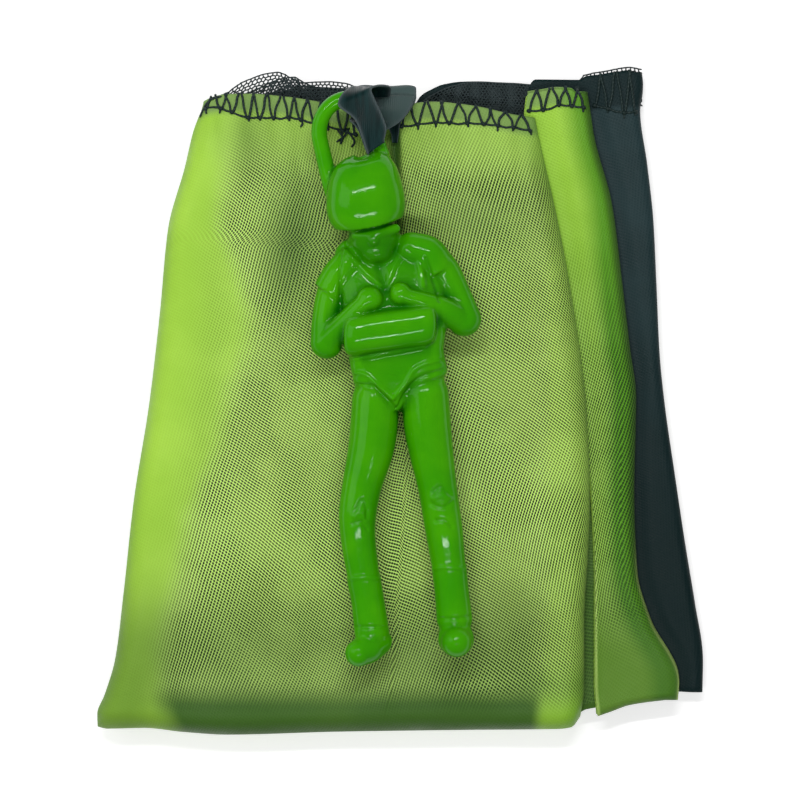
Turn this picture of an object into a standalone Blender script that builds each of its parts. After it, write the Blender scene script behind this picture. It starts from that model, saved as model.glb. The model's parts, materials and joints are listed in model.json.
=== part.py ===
"""Toy parachute, folded flat with its moulded jumper lying on the front leaf.

The canopy is green and black cloth with a black net skirt sewn along its hem. A satin ribbon is
sewn to the neck of the net and passes through the eye on the jumper's helmet. Lengths are in
metres. The bundle lies on the XY plane with its hem towards +Y, and +Z is up.
"""

import math

import bmesh
import bpy
import numpy as np
from mathutils import Vector

# Folded bundle
bundle_width = 0.1062
bundle_length = 0.1172
layer_gap = 0.0003

# Cloth leaves, from the table up
back_leaf_thickness = 0.0018
black_leaf_thickness = 0.0017
black_inner_thickness = 0.0010
pleat_thickness = 0.0016
front_leaf_rise = 0.0046
leaf_edge_radius = 0.0032
hem_thickness = 0.0017

# Net skirt
net_strand = 0.0005
net_cell = 0.0021
net_depth = 0.0090
net_corner_depth = 0.0046

# Ribbon
ribbon_width = 0.0072
ribbon_thickness = 0.0006
ribbon_lap_gap = 0.0003

# Moulded jumper
figure_height = 0.0880
figure_width = 0.0301
figure_depth = 0.0135
figure_clearance = 0.0004
eye_radius = 0.0058
eye_half_width = 0.0051
eye_rod_radius = 0.0014
thigh_radius = 0.0042
boot_radius = 0.0031
foot_radius = 0.0030
arm_radius = 0.0028
wrist_radius = 0.0012
fist_radius = 0.00205
seam_depth = 0.00030
seam_width = 0.00038
welt_height = 0.00022
mould_grain = 0.00036

# Mesh counts
figure_triangles = 7000
leaf_columns = 22
leaf_rows = 24
circle_steps = 16
path_steps = 6
ribbon_edge_steps = 8
pack_edge_steps = 4
inner_leaf_steps = 14
side_leaf_columns = 12

# Where the ribbon crosses the hem, and how the eye sits below it, as shares of the bundle
eye_centre_shares = (-0.078, 0.398)
neck_shares = (-0.042, 0.447)

# Heights of the stack
back_leaf_top = back_leaf_thickness
under_leaf_base = back_leaf_top + layer_gap
fold_line_z = under_leaf_base + black_leaf_thickness + layer_gap / 2
upper_base = fold_line_z + layer_gap / 2
net_corner_base = under_leaf_base - layer_gap - 2 * net_strand
net_top = upper_base + 2 * net_strand
front_leaf_base = net_top + layer_gap
pleat_top = upper_base + pleat_thickness
front_leaf_over_pleat = pleat_top + layer_gap
front_leaf_top = front_leaf_base + front_leaf_rise
figure_back = front_leaf_top + figure_clearance
fold_line_y = -bundle_length / 2

# Outlines of the leaves. Edges are (share from hem to bottom fold, share of the bundle's width)
# and ends are (share from left to right, share of the bundle's length).
FRONT_LEFT_SHARES = [
    (0.00, -0.320), (0.03, -0.328), (0.15, -0.365), (0.27, -0.390), (0.40, -0.400),
    (0.48, -0.413), (0.64, -0.439), (0.79, -0.456), (0.89, -0.469), (0.95, -0.487),
    (0.98, -0.500), (1.00, -0.494),
]
FRONT_RIGHT_SHARES = [
    (0.00, 0.220), (0.05, 0.223), (0.15, 0.243), (0.24, 0.263), (0.40, 0.294),
    (0.48, 0.306), (0.64, 0.312), (0.73, 0.309), (0.84, 0.302), (0.95, 0.300),
    (1.00, 0.285),
]
FRONT_HEM_SHARES = [
    (0.00, 0.436), (0.04, 0.452), (0.12, 0.456), (0.25, 0.452), (0.33, 0.446),
    (0.45, 0.436), (0.55, 0.436), (0.63, 0.442), (0.70, 0.445), (0.78, 0.442),
    (0.85, 0.437), (0.93, 0.428), (1.00, 0.421),
]
FRONT_BOTTOM_SHARES = [
    (0.00, -0.480), (0.03, -0.490), (0.10, -0.490), (0.18, -0.496), (0.27, -0.500),
    (0.50, -0.497), (0.75, -0.497), (0.95, -0.492), (0.98, -0.486), (1.00, -0.470),
]
PLEAT_LEFT_SHARES = [(0.00, 0.170), (1.00, 0.170)]
PLEAT_RIGHT_SHARES = [
    (0.00, 0.309), (0.03, 0.314), (0.07, 0.319), (0.18, 0.345), (0.31, 0.360),
    (0.42, 0.373), (0.50, 0.383), (0.66, 0.379), (0.79, 0.386), (0.87, 0.411),
    (0.97, 0.460), (1.00, 0.460),
]
PLEAT_HEM_SHARES = [
    (0.00, 0.452), (0.34, 0.460), (0.47, 0.465), (0.70, 0.467), (0.91, 0.465), (1.00, 0.454),
]
PLEAT_BOTTOM_SHARES = [
    (0.00, -0.462), (0.50, -0.466), (0.57, -0.468), (0.70, -0.453), (0.86, -0.446),
    (1.00, -0.443),
]
BLACK_LEFT_SHARES = [(0.00, 0.250), (1.00, 0.250)]
BLACK_RIGHT_SHARES = [
    (0.00, 0.399), (0.02, 0.401), (0.06, 0.396), (0.15, 0.408), (0.24, 0.418),
    (0.34, 0.423), (0.45, 0.428), (0.53, 0.436), (0.64, 0.452), (0.77, 0.472),
    (0.86, 0.487), (0.95, 0.500), (1.00, 0.499),
]
BLACK_HEM_SHARES = [(0.00, 0.479), (0.33, 0.479), (0.42, 0.481), (0.84, 0.492), (1.00, 0.484)]
BLACK_BOTTOM_SHARES = [(0.00, -0.433), (0.70, -0.434), (1.00, -0.437)]
INNER_LEFT_SHARES = [
    (0.00, -0.300), (0.08, -0.355), (0.19, -0.319), (0.34, -0.264), (0.50, -0.310),
    (0.66, -0.355), (0.87, -0.416), (1.00, -0.396),
]
INNER_RIGHT_SHARES = [(0.00, 0.236), (0.75, 0.236), (1.00, 0.207)]
INNER_HEM_SHARES = [
    (0.00, 0.428), (0.30, 0.430), (0.58, 0.434), (0.66, 0.448), (0.71, 0.467),
    (0.79, 0.476), (0.95, 0.472), (1.00, 0.472),
]
INNER_BOTTOM_SHARES = [(0.00, -0.460), (0.10, -0.472), (0.90, -0.474), (1.00, -0.462)]
BACK_LEFT_SHARES = [
    (0.00, -0.312), (0.15, -0.356), (0.40, -0.391), (0.64, -0.430), (0.89, -0.460),
    (1.00, -0.482),
]
BACK_RIGHT_SHARES = [
    (0.00, 0.380), (0.15, 0.390), (0.40, 0.412), (0.64, 0.434), (0.86, 0.464), (1.00, 0.452),
]
BACK_HEM_SHARES = [(0.00, 0.428), (0.30, 0.434), (0.70, 0.432), (1.00, 0.428)]
BACK_BOTTOM_SHARES = [
    (0.00, -0.478), (0.20, -0.492), (0.76, -0.492), (0.83, -0.462), (0.92, -0.436),
    (1.00, -0.430),
]

# Soft folds pressed into the front leaf: two ends as shares of the bundle, then the depth as a
# share of the rise and the half width as a share of the bundle's width.
FRONT_FOLD_SHARES = [
    ((-0.009, 0.420), (-0.004, 0.250), 0.42, 0.012),
    ((0.015, 0.250), (0.160, 0.000), 0.16, 0.035),
    ((-0.260, 0.330), (-0.330, -0.250), 0.14, 0.030),
    ((-0.200, -0.300), (0.120, -0.380), 0.12, 0.040),
    ((0.230, 0.150), (0.200, -0.380), 0.16, 0.030),
]

edge_crowd_share = 0.75
rim_height_share = 0.35

# Net skirt outlines as shares: crest height over the hem along the strip
NET_LEFT_CREST_SHARES = [
    (0.00, 0.449), (0.12, 0.470), (0.25, 0.488), (0.40, 0.485), (0.52, 0.474),
    (0.70, 0.474), (0.88, 0.472), (1.00, 0.464),
]
NET_RIGHT_CREST_SHARES = [(0.00, 0.482), (0.22, 0.486), (0.70, 0.499), (1.00, 0.497)]
net_skirt_left_share = -0.292
net_corner_span_shares = (0.262, 0.400)

# Jumper: places are shares of figure_width across, of figure_height up from the eye's centre, and
# of figure_depth up from its back. Radii are shares of the radius that each limb names.
TORSO_SHARES = [
    (-0.208, -0.02, 0.34, 0.24, 0.50), (-0.220, -0.07, 0.42, 0.18, 0.57),
    (-0.236, -0.10, 0.49, 0.15, 0.63), (-0.262, -0.11, 0.53, 0.13, 0.69),
    (-0.302, -0.09, 0.55, 0.12, 0.76), (-0.350, -0.07, 0.55, 0.12, 0.82),
    (-0.402, -0.04, 0.54, 0.13, 0.84), (-0.432, -0.03, 0.53, 0.14, 0.82),
    (-0.470, -0.01, 0.55, 0.14, 0.80), (-0.486, 0.00, 0.52, 0.14, 0.79),
    (-0.500, 0.01, 0.42, 0.15, 0.78), (-0.512, 0.06, 0.36, 0.16, 0.77),
    (-0.524, 0.12, 0.33, 0.18, 0.76), (-0.540, 0.19, 0.30, 0.22, 0.73),
    (-0.552, 0.23, 0.27, 0.30, 0.68),
]
HIP_SHARES = [
    (-0.430, 0.02, 0.50, 0.18, 0.74), (-0.480, 0.01, 0.53, 0.17, 0.74),
    (-0.520, 0.01, 0.54, 0.17, 0.73), (-0.556, 0.01, 0.55, 0.19, 0.71),
]
HELMET_SHARES = [
    (-0.054, -0.02, 0.10, 0.36, 0.66), (-0.060, -0.08, 0.17, 0.20, 0.80),
    (-0.072, -0.12, 0.22, 0.09, 0.91), (-0.095, -0.14, 0.26, 0.03, 0.98),
    (-0.130, -0.15, 0.29, 0.00, 1.00), (-0.160, -0.145, 0.305, 0.02, 1.00),
    (-0.182, -0.12, 0.305, 0.05, 0.98), (-0.194, -0.09, 0.285, 0.10, 0.92),
]
LEFT_LEG_SHARES = [
    (0.135, -0.530, 0.45, 1.00), (0.113, -0.616, 0.45, 0.98), (0.058, -0.696, 0.46, 0.84),
    (0.030, -0.757, 0.47, 0.79), (0.035, -0.810, 0.45, 0.73), (0.060, -0.870, 0.43, 0.69),
]
RIGHT_LEG_SHARES = [
    (0.420, -0.520, 0.45, 1.00), (0.436, -0.586, 0.45, 0.99), (0.460, -0.640, 0.45, 0.92),
    (0.492, -0.704, 0.47, 0.82), (0.529, -0.787, 0.47, 0.79), (0.555, -0.853, 0.43, 0.72),
]
LEFT_BOOT_SHARES = [
    (0.066, -0.884, 0.43, 0.97), (0.090, -0.930, 0.42, 0.95), (0.113, -0.990, 0.41, 1.00),
]
RIGHT_BOOT_SHARES = [
    (0.560, -0.864, 0.43, 1.00), (0.573, -0.905, 0.42, 0.98), (0.590, -0.962, 0.41, 1.02),
]
LEFT_FOOT_SHARES = [
    (0.145, -1.008, 0.36, 0.86), (0.090, -1.020, 0.46, 0.93), (0.036, -1.030, 0.56, 0.80),
]
RIGHT_FOOT_SHARES = [
    (0.595, -0.996, 0.36, 1.02), (0.600, -1.004, 0.48, 1.05), (0.602, -1.008, 0.58, 0.90),
]
LEFT_ARM_SHARES = [
    (-0.045, -0.272, 0.50, 1.02), (-0.120, -0.320, 0.47, 0.94), (-0.150, -0.375, 0.45, 0.93),
    (-0.150, -0.417, 0.47, 1.02),
]
LEFT_FOREARM_SHARES = [
    (-0.145, -0.420, 0.50, 1.90), (-0.075, -0.392, 0.68, 1.55), (0.000, -0.368, 0.84, 1.00),
    (0.060, -0.348, 0.92, 0.90),
]
RIGHT_ARM_SHARES = [
    (0.410, -0.240, 0.50, 1.10), (0.520, -0.272, 0.48, 1.04), (0.600, -0.325, 0.46, 0.98),
    (0.645, -0.370, 0.48, 1.10),
]
RIGHT_FOREARM_SHARES = [
    (0.640, -0.372, 0.50, 2.00), (0.560, -0.358, 0.66, 1.65), (0.440, -0.336, 0.84, 1.05),
    (0.340, -0.326, 0.92, 0.92),
]
LEFT_FIST_SHARES = (0.108, -0.333, 0.86)
RIGHT_FIST_SHARES = (0.272, -0.320, 0.86)
FIST_FORM_SHARES = (0.95, 1.05, 0.90)

# Rounded blocks: centre and half sizes, both in the jumper's shares
RESERVE_PACK_SHARES = ((0.216, -0.389, 0.80), (0.250, 0.038, 0.20))
BELT_SHARES = ((0.228, -0.433, 0.70), (0.255, 0.014, 0.19))
BACK_PACK_SHARES = ((0.230, -0.345, 0.15), (0.185, 0.080, 0.15))
pack_lean_share = 0.14
pack_edge_share = 0.30
helmet_lean_share = 0.17
torso_squareness_share = 0.62
hip_squareness_share = 0.70
helmet_squareness_share = 0.58

# Head below the helmet: centre and radii, in the jumper's shares
FACE_SHARES = ((0.126, -0.212, 0.51), (0.152, 0.050, 0.36))
CHIN_SHARES = ((0.140, -0.240, 0.54), (0.108, 0.027, 0.31))
NOSE_SHARES = ((0.118, -0.218, 0.85), (0.034, 0.013, 0.07))
BROW_SHARES = [(0.020, -0.204, 0.76, 0.8), (0.130, -0.204, 0.83, 0.9), (0.250, -0.190, 0.76, 0.8)]
NECK_SHARES = [(0.130, -0.230, 0.46, 1.15), (0.170, -0.290, 0.46, 1.3)]

# The eye's rod: it leaves the helmet's left side, goes round and ends in its right shoulder
eye_height_share = 0.43
eye_arc_shift_share = -0.023
EYE_LEG_LEFT_SHARES = [(-0.092, -0.140, 1.12), (-0.140, -0.085, 1.04)]
EYE_LEG_RIGHT_SHARES = [(0.163, -0.046, 1.15), (0.200, -0.097, 1.60), (0.215, -0.130, 1.80)]
eye_arc_start = math.radians(194)
eye_arc_end = math.radians(-14)
eye_arc_steps = 18

# Lines pressed into the moulding, and welts that stand out of it. Both fade out on faces that turn
# from the front by more than the slope's share.
full_press_slope_share = 0.62
SEAM_SHARES = [
    [(-0.070, -0.242), (-0.070, -0.300), (-0.066, -0.352)],
    [(0.415, -0.242), (0.455, -0.290), (0.505, -0.335)],
    [(-0.200, -0.314), (-0.140, -0.316), (-0.076, -0.308)],
    [(0.505, -0.276), (0.560, -0.262), (0.605, -0.255)],
    [(-0.030, -0.424), (0.200, -0.418), (0.480, -0.402)],
    [(0.020, -0.745), (0.055, -0.728), (0.085, -0.745), (0.080, -0.765)],
    [(0.000, -0.775), (0.050, -0.770), (0.085, -0.785)],
    [(0.465, -0.712), (0.510, -0.702), (0.565, -0.715)],
    [(0.455, -0.735), (0.520, -0.742), (0.570, -0.734)],
    [(0.480, -0.768), (0.530, -0.768), (0.575, -0.780)],
    [(0.005, -0.980), (0.110, -0.978), (0.220, -0.980)],
    [(0.490, -0.962), (0.590, -0.962), (0.690, -0.958)],
]
WELT_SHARES = [
    [(-0.050, -0.240), (0.060, -0.280), (0.170, -0.312)],
    [(0.305, -0.232), (0.250, -0.275), (0.205, -0.300)],
    [(0.365, -0.236), (0.385, -0.275), (0.395, -0.312)],
    [(0.400, -0.242), (0.425, -0.280), (0.432, -0.312)],
    [(0.030, -0.492), (0.110, -0.492), (0.185, -0.520), (0.245, -0.538)],
    [(0.245, -0.538), (0.305, -0.512), (0.370, -0.480), (0.520, -0.470)],
    [(-0.010, -0.884), (0.070, -0.880), (0.160, -0.884)],
    [(0.450, -0.864), (0.560, -0.860), (0.660, -0.866)],
]

# Ribbon route round the eye: across, along and up from the eye's centre, as shares of eye_radius,
# then the width's direction in plan (degrees from +X) and the width as a share of ribbon_width.
RIBBON_ROUTE_SHARES = [
    (0.56, 1.34, -0.92, 0, 0.94), (0.32, 1.48, -0.36, 0, 0.88), (0.10, 1.40, 0.20, 0, 0.82),
    (0.18, 1.06, 0.44, -6, 0.78), (0.34, 0.55, 0.42, -12, 0.66), (0.35, 0.10, 0.36, -24, 0.48),
    (0.25, -0.22, 0.10, -44, 0.42), (0.29, -0.28, -0.20, -54, 0.42),
    (0.66, -0.16, -0.46, -66, 0.46), (1.08, 0.12, -0.54, -56, 0.47),
    (1.26, 0.55, -0.66, -30, 0.52), (1.18, 0.95, -0.86, -10, 0.60),
]
ribbon_lift_setback = 0.0006
ribbon_neck_run = 0.0060

# Colours as the pieces show them, with the roughness
CLOTH_GREEN = ((0.30, 0.56, 0.06, 1.0), 0.55)
CLOTH_BLACK = ((0.018, 0.038, 0.040, 1.0), 0.60)
NET_BLACK = ((0.014, 0.028, 0.030, 1.0), 0.70)
RIBBON_BLACK = ((0.016, 0.034, 0.038, 1.0), 0.35)
PLASTIC_GREEN = ((0.075, 0.38, 0.005, 1.0), 0.18)


def clear_scene():
    for old in list(bpy.data.objects):
        bpy.data.objects.remove(old, do_unlink=True)


def new_collection(name):
    collection = bpy.data.collections.new(name)
    bpy.context.scene.collection.children.link(collection)
    return collection


def finish_material(name, colour, roughness):
    material = bpy.data.materials.new(name)
    material.use_nodes = True
    shader = material.node_tree.nodes["Principled BSDF"]
    shader.inputs["Base Color"].default_value = colour
    shader.inputs["Roughness"].default_value = roughness
    shader.inputs["Metallic"].default_value = 0.0
    return material


def place_mesh(name, mesh, material, collection, origin=Vector((0, 0, 0))):
    """Makes an object of a mesh given in world positions, with its origin at the given point."""
    for vertex in mesh.vertices:
        vertex.co -= origin
    mesh.materials.clear()
    mesh.materials.append(material)
    mesh.shade_smooth()
    piece = bpy.data.objects.new(name, mesh)
    piece.location = origin
    collection.objects.link(piece)
    return piece


def along(table, share):
    """Smooth value of a table of (share, value) rows: a cubic through its points without overshoot."""
    rows = np.array(table, float)
    at = rows[:, 0]
    values = rows[:, 1]
    steps = np.diff(at)
    slopes = np.diff(values) / steps
    tangents = np.zeros(len(at))
    tangents[0] = slopes[0]
    tangents[-1] = slopes[-1]
    for i in range(1, len(at) - 1):
        if slopes[i - 1] * slopes[i] > 0:
            tangents[i] = 2 * slopes[i - 1] * slopes[i] / (slopes[i - 1] + slopes[i])
    i = int(np.clip(np.searchsorted(at, share) - 1, 0, len(steps) - 1))
    t = float(np.clip((share - at[i]) / steps[i], 0, 1))
    rise = (1 + 2 * t) * (1 - t) ** 2 * values[i] + t * t * (3 - 2 * t) * values[i + 1]
    return rise + steps[i] * (t * (1 - t) ** 2 * tangents[i] - t * t * (1 - t) * tangents[i + 1])


def smooth_path(points, steps):
    """Points along a Catmull-Rom curve through rows of numbers, ends included."""
    rows = [np.array(row, float) for row in points]
    padded = [2 * rows[0] - rows[1]] + rows + [2 * rows[-1] - rows[-2]]
    path = []
    for before, start, end, after in zip(padded, padded[1:], padded[2:], padded[3:]):
        for step in range(steps):
            t = step / steps
            path.append(
                0.5 * (
                    2 * start
                    + (end - before) * t
                    + (2 * before - 5 * start + 4 * end - after) * t * t
                    + (3 * start - before - 3 * end + after) * t ** 3
                )
            )
    path.append(rows[-1])
    return path


def loft(rings):
    """Closed mesh over rings of equal count, each end closed by a fan about its middle."""
    shell = bmesh.new()
    loops = [[shell.verts.new(point) for point in ring] for ring in rings]
    count = len(loops[0])
    for lower, upper in zip(loops, loops[1:]):
        for i in range(count):
            j = (i + 1) % count
            shell.faces.new((lower[i], lower[j], upper[j], upper[i]))
    shell.faces.new(list(reversed(loops[0])))
    shell.faces.new(loops[-1])
    bmesh.ops.recalc_face_normals(shell, faces=shell.faces)
    if shell.calc_volume(signed=True) < 0:
        bmesh.ops.reverse_faces(shell, faces=shell.faces)
    mesh = bpy.data.meshes.new("loft")
    shell.to_mesh(mesh)
    shell.free()
    return mesh


# Cloth


def leaf_point(outline, across, down):
    """Plan position of a share across and a share down a leaf."""
    left, right, hem, bottom = outline
    x = along(left, down) * (1 - across) + along(right, down) * across
    y = along(hem, across) * (1 - down) + along(bottom, across) * down
    return x * bundle_width, y * bundle_length


def edge_shares(count):
    """Shares from 0 to 1, crowded towards both ends."""
    even = np.linspace(0, 1, count)
    return even - edge_crowd_share * np.sin(2 * math.pi * even) / (2 * math.pi)


def rounded_rim(distance, radius):
    """1 inside a rim of the given radius, falling to 0 at the edge along a quarter circle."""
    if distance >= radius:
        return 1.0
    return math.sqrt(max(0.0, 1 - (1 - distance / radius) ** 2))


def leaf(outline, floor_at, roof_at, columns, rows):
    """Closed leaf: each ring runs right along its top and back along its underside."""
    rings = []
    for down in edge_shares(rows):
        upper = []
        lower = []
        for across in edge_shares(columns):
            x, y = leaf_point(outline, across, down)
            floor = floor_at(x, y, across, down)
            roof = roof_at(x, y, across, down)
            upper.append(Vector((x, y, roof)))
            lower.append(Vector((x, y, floor)))
        rings.append(upper + list(reversed(lower)))
    return loft(rings)


def rim_distance(outline, across, down):
    """Distance from a place in a leaf to its nearest side, and to its bottom fold."""
    x, y = leaf_point(outline, across, down)
    left = leaf_point(outline, 0, down)[0]
    right = leaf_point(outline, 1, down)[0]
    bottom = leaf_point(outline, across, 1)[1]
    return min(x - left, right - x), y - bottom


def flat_leaf(outline, floor, thickness, columns, rows):
    """A thin leaf, full in the middle and rounded down to its sides and its bottom fold."""
    least = rim_height_share * thickness

    def roof_at(x, y, across, down):
        side, bottom = rim_distance(outline, across, down)
        rim = rounded_rim(side, thickness) * rounded_rim(bottom, thickness)
        return floor + least + (thickness - least) * rim

    return leaf(outline, lambda x, y, across, down: floor, roof_at, columns, rows)


FRONT_OUTLINE = (
    FRONT_LEFT_SHARES, FRONT_RIGHT_SHARES, FRONT_HEM_SHARES, FRONT_BOTTOM_SHARES,
)
PLEAT_OUTLINE = (
    PLEAT_LEFT_SHARES, PLEAT_RIGHT_SHARES, PLEAT_HEM_SHARES, PLEAT_BOTTOM_SHARES,
)
BLACK_OUTLINE = (
    BLACK_LEFT_SHARES, BLACK_RIGHT_SHARES, BLACK_HEM_SHARES, BLACK_BOTTOM_SHARES,
)
INNER_OUTLINE = (
    INNER_LEFT_SHARES, INNER_RIGHT_SHARES, INNER_HEM_SHARES, INNER_BOTTOM_SHARES,
)
BACK_OUTLINE = (BACK_LEFT_SHARES, BACK_RIGHT_SHARES, BACK_HEM_SHARES, BACK_BOTTOM_SHARES)


def line_distance(x, y, start, end):
    """Distance in plan from a point to a line between two places given as bundle shares."""
    first = Vector((start[0] * bundle_width, start[1] * bundle_length))
    last = Vector((end[0] * bundle_width, end[1] * bundle_length))
    run = last - first
    at = max(0.0, min(1.0, (Vector((x, y)) - first).dot(run) / run.length_squared))
    return (Vector((x, y)) - first - run * at).length


def front_floor(x, y, across, down):
    """Underside of the front leaf, lifted where it lies over the pleat."""
    pleat_edge = PLEAT_LEFT_SHARES[0][1] * bundle_width
    ramp = max(0.0, min(1.0, (x - pleat_edge + 2 * leaf_edge_radius) / leaf_edge_radius))
    return front_leaf_base + (front_leaf_over_pleat - front_leaf_base) * ramp


def front_roof(x, y, across, down):
    """Top of the front leaf: puffed in the middle, thin at the hem, round at its folds."""
    side, bottom = rim_distance(FRONT_OUTLINE, across, down)
    floor = front_floor(x, y, across, down)
    hem = along(FRONT_HEM_SHARES, across) * bundle_length - y
    swell = max(0.0, min(1.0, hem / (4 * leaf_edge_radius)))
    swell = swell * swell * (3 - 2 * swell)
    crown = floor + hem_thickness + (front_leaf_top - floor - hem_thickness) * swell
    for start, end, depth, half_width in FRONT_FOLD_SHARES:
        reach = line_distance(x, y, start, end) / (half_width * bundle_width)
        crown -= depth * front_leaf_rise * swell * math.exp(-reach * reach)
    rim = rounded_rim(side, leaf_edge_radius) * rounded_rim(bottom, leaf_edge_radius)
    least = rim_height_share * hem_thickness
    return floor + least + (crown - floor - least) * rim


def net_strip(left, right, crest, depth, floor):
    """A flat net of open cells: a lattice of strands that hangs a depth below its crest."""
    columns = max(2, round((right - left) / net_cell))
    rows = max(2, round(depth / net_cell))
    lattice = bmesh.new()
    grid = []
    for column in range(columns + 1):
        share = column / columns
        top = along(crest, share) * bundle_length
        x = left + (right - left) * share
        grid.append([
            lattice.verts.new((x, top - depth * row / rows, floor + net_strand))
            for row in range(rows + 1)
        ])
    for column in range(columns):
        for row in range(rows):
            lattice.faces.new((
                grid[column][row], grid[column + 1][row],
                grid[column + 1][row + 1], grid[column][row + 1],
            ))
    bmesh.ops.recalc_face_normals(lattice, faces=lattice.faces)
    mesh = bpy.data.meshes.new("net")
    lattice.to_mesh(mesh)
    lattice.free()
    return mesh


def net_piece(name, strip, material, collection):
    """Net strip with its strands made solid."""
    piece = place_mesh(name, strip, material, collection)
    strands = piece.modifiers.new("strands", "WIREFRAME")
    strands.thickness = net_strand
    strands.use_boundary = True
    strands.use_even_offset = False
    strands.use_relative_offset = False
    return piece


# Ribbon


def strap(path, widths, thickness):
    """Flat strap along a path, from rows of centre and width direction, with half-round edges."""
    rings = []
    for i, (centre, across) in enumerate(path):
        before = path[max(i - 1, 0)][0]
        after = path[min(i + 1, len(path) - 1)][0]
        run = (after - before).normalized()
        side = (across - run * across.dot(run)).normalized()
        up = run.cross(side)
        half = widths[i] / 2
        ring = []
        for step in range(ribbon_edge_steps):
            angle = 2 * math.pi * (step + 0.5) / ribbon_edge_steps
            flat = math.copysign(half - thickness / 2, math.cos(angle))
            out = flat + math.cos(angle) * thickness / 2
            ring.append(centre + side * out + up * math.sin(angle) * thickness / 2)
        rings.append(ring)
    return loft(rings)


eye_z = figure_back + eye_height_share * figure_depth
neck_x = neck_shares[0] * bundle_width
neck_y = neck_shares[1] * bundle_length
neck_floor = upper_base + ribbon_thickness / 2
neck_roof = front_leaf_base + hem_thickness + layer_gap + ribbon_thickness / 2
neck_bend = (neck_roof - neck_floor) / 2
lap_z = neck_roof + ribbon_thickness + ribbon_lap_gap
lift_axis_z = neck_roof + (ribbon_thickness + ribbon_lap_gap) / 2
lift_axis_y = neck_y + neck_bend / 2
eye_centre = Vector((
    eye_centre_shares[0] * bundle_width,
    eye_centre_shares[1] * bundle_length,
    eye_z,
))


def ribbon_neck_mesh():
    """Sewn end of the ribbon: in under the hem, round its edge and back over it."""
    across = Vector((1, 0, 0))
    path = [(Vector((neck_x, neck_y - ribbon_neck_run, neck_floor)), across)]
    for step in range(circle_steps + 1):
        angle = math.pi * (step / circle_steps - 0.5)
        y = neck_y + neck_bend * math.cos(angle)
        z = neck_floor + neck_bend + neck_bend * math.sin(angle)
        path.append((Vector((neck_x, y, z)), across))
    path.append((Vector((neck_x, neck_y - ribbon_neck_run / 3, neck_roof)), across))
    return strap(path, [ribbon_width] * len(path), ribbon_thickness)


def ribbon_loop_mesh():
    """Free part of the ribbon: from the lap over the eye's rod, through the eye and back."""
    rows = []
    start_y = lift_axis_y - ribbon_lift_setback - ribbon_neck_run / 4
    rows.append((neck_x, start_y, lap_z, 0.0, 1.0))
    rows.append((neck_x, lift_axis_y - ribbon_lift_setback, lap_z, 0.0, 1.0))
    for x, y, z, turn, width in RIBBON_ROUTE_SHARES:
        place = eye_centre + Vector((x, y, z)) * eye_radius
        rows.append((place.x, place.y, place.z, turn, width))
    path = []
    widths = []
    for x, y, z, turn, width in smooth_path(rows, 3):
        angle = math.radians(turn)
        path.append((Vector((x, y, z)), Vector((math.cos(angle), math.sin(angle), 0))))
        widths.append(width * ribbon_width)
    return strap(path, widths, ribbon_thickness)


# Moulded jumper


def figure_place(x, y, z):
    """World position of a place in the jumper's shares."""
    return Vector((
        eye_centre.x + x * figure_width,
        eye_centre.y + y * figure_height,
        figure_back + z * figure_depth,
    ))


def body_loft(stations, squareness_share, lean_share=0.0):
    """Torso-like solid from rows of (along, left, right, back, front) in the jumper's shares."""
    rings = []
    for y, left, right, back, front in smooth_path(stations, 3):
        low = figure_place(left, y, back)
        high = figure_place(right, y, front)
        middle = (low + high) / 2
        half_x = (high.x - low.x) / 2
        half_z = (high.z - low.z) / 2
        ring = []
        for step in range(2 * circle_steps):
            angle = 2 * math.pi * step / (2 * circle_steps)
            cos = math.cos(angle)
            sin = math.sin(angle)
            out = half_x * math.copysign(abs(cos) ** squareness_share, cos)
            rise = half_z * math.copysign(abs(sin) ** squareness_share, sin)
            ring.append(middle + Vector((out, lean_share * out, rise)))
        rings.append(ring)
    return loft(rings)


def ball(centre, radii):
    shell = bmesh.new()
    bmesh.ops.create_uvsphere(shell, u_segments=circle_steps, v_segments=circle_steps, radius=1)
    bmesh.ops.scale(shell, vec=radii, verts=shell.verts)
    bmesh.ops.translate(shell, vec=centre, verts=shell.verts)
    mesh = bpy.data.meshes.new("ball")
    shell.to_mesh(mesh)
    shell.free()
    return mesh


def limb(stations, radius):
    """Round tapering limb with ball ends, from rows of (x, y, z, radius share)."""
    places = [(*figure_place(x, y, z), share) for x, y, z, share in stations]
    path = smooth_path(places, path_steps)
    curve = bpy.data.curves.new("limb", "CURVE")
    curve.dimensions = "3D"
    curve.bevel_depth = radius
    curve.bevel_resolution = 4
    curve.use_fill_caps = True
    spline = curve.splines.new("POLY")
    spline.points.add(len(path) - 1)
    for point, (x, y, z, share) in zip(spline.points, path):
        point.co = (x, y, z, 1)
        point.radius = share
    holder = bpy.data.objects.new("limb", curve)
    bpy.context.scene.collection.objects.link(holder)
    tube = bpy.data.meshes.new_from_object(holder.evaluated_get(bpy.context.evaluated_depsgraph_get()))
    bpy.data.objects.remove(holder)
    weld = bmesh.new()
    weld.from_mesh(tube)
    bmesh.ops.remove_doubles(weld, verts=weld.verts, dist=mould_grain / 100)
    weld.to_mesh(tube)
    weld.free()
    ends = [
        ball(Vector(path[i][:3]), Vector((1, 1, 1)) * radius * path[i][3]) for i in (0, -1)
    ]
    return [tube] + ends


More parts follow.
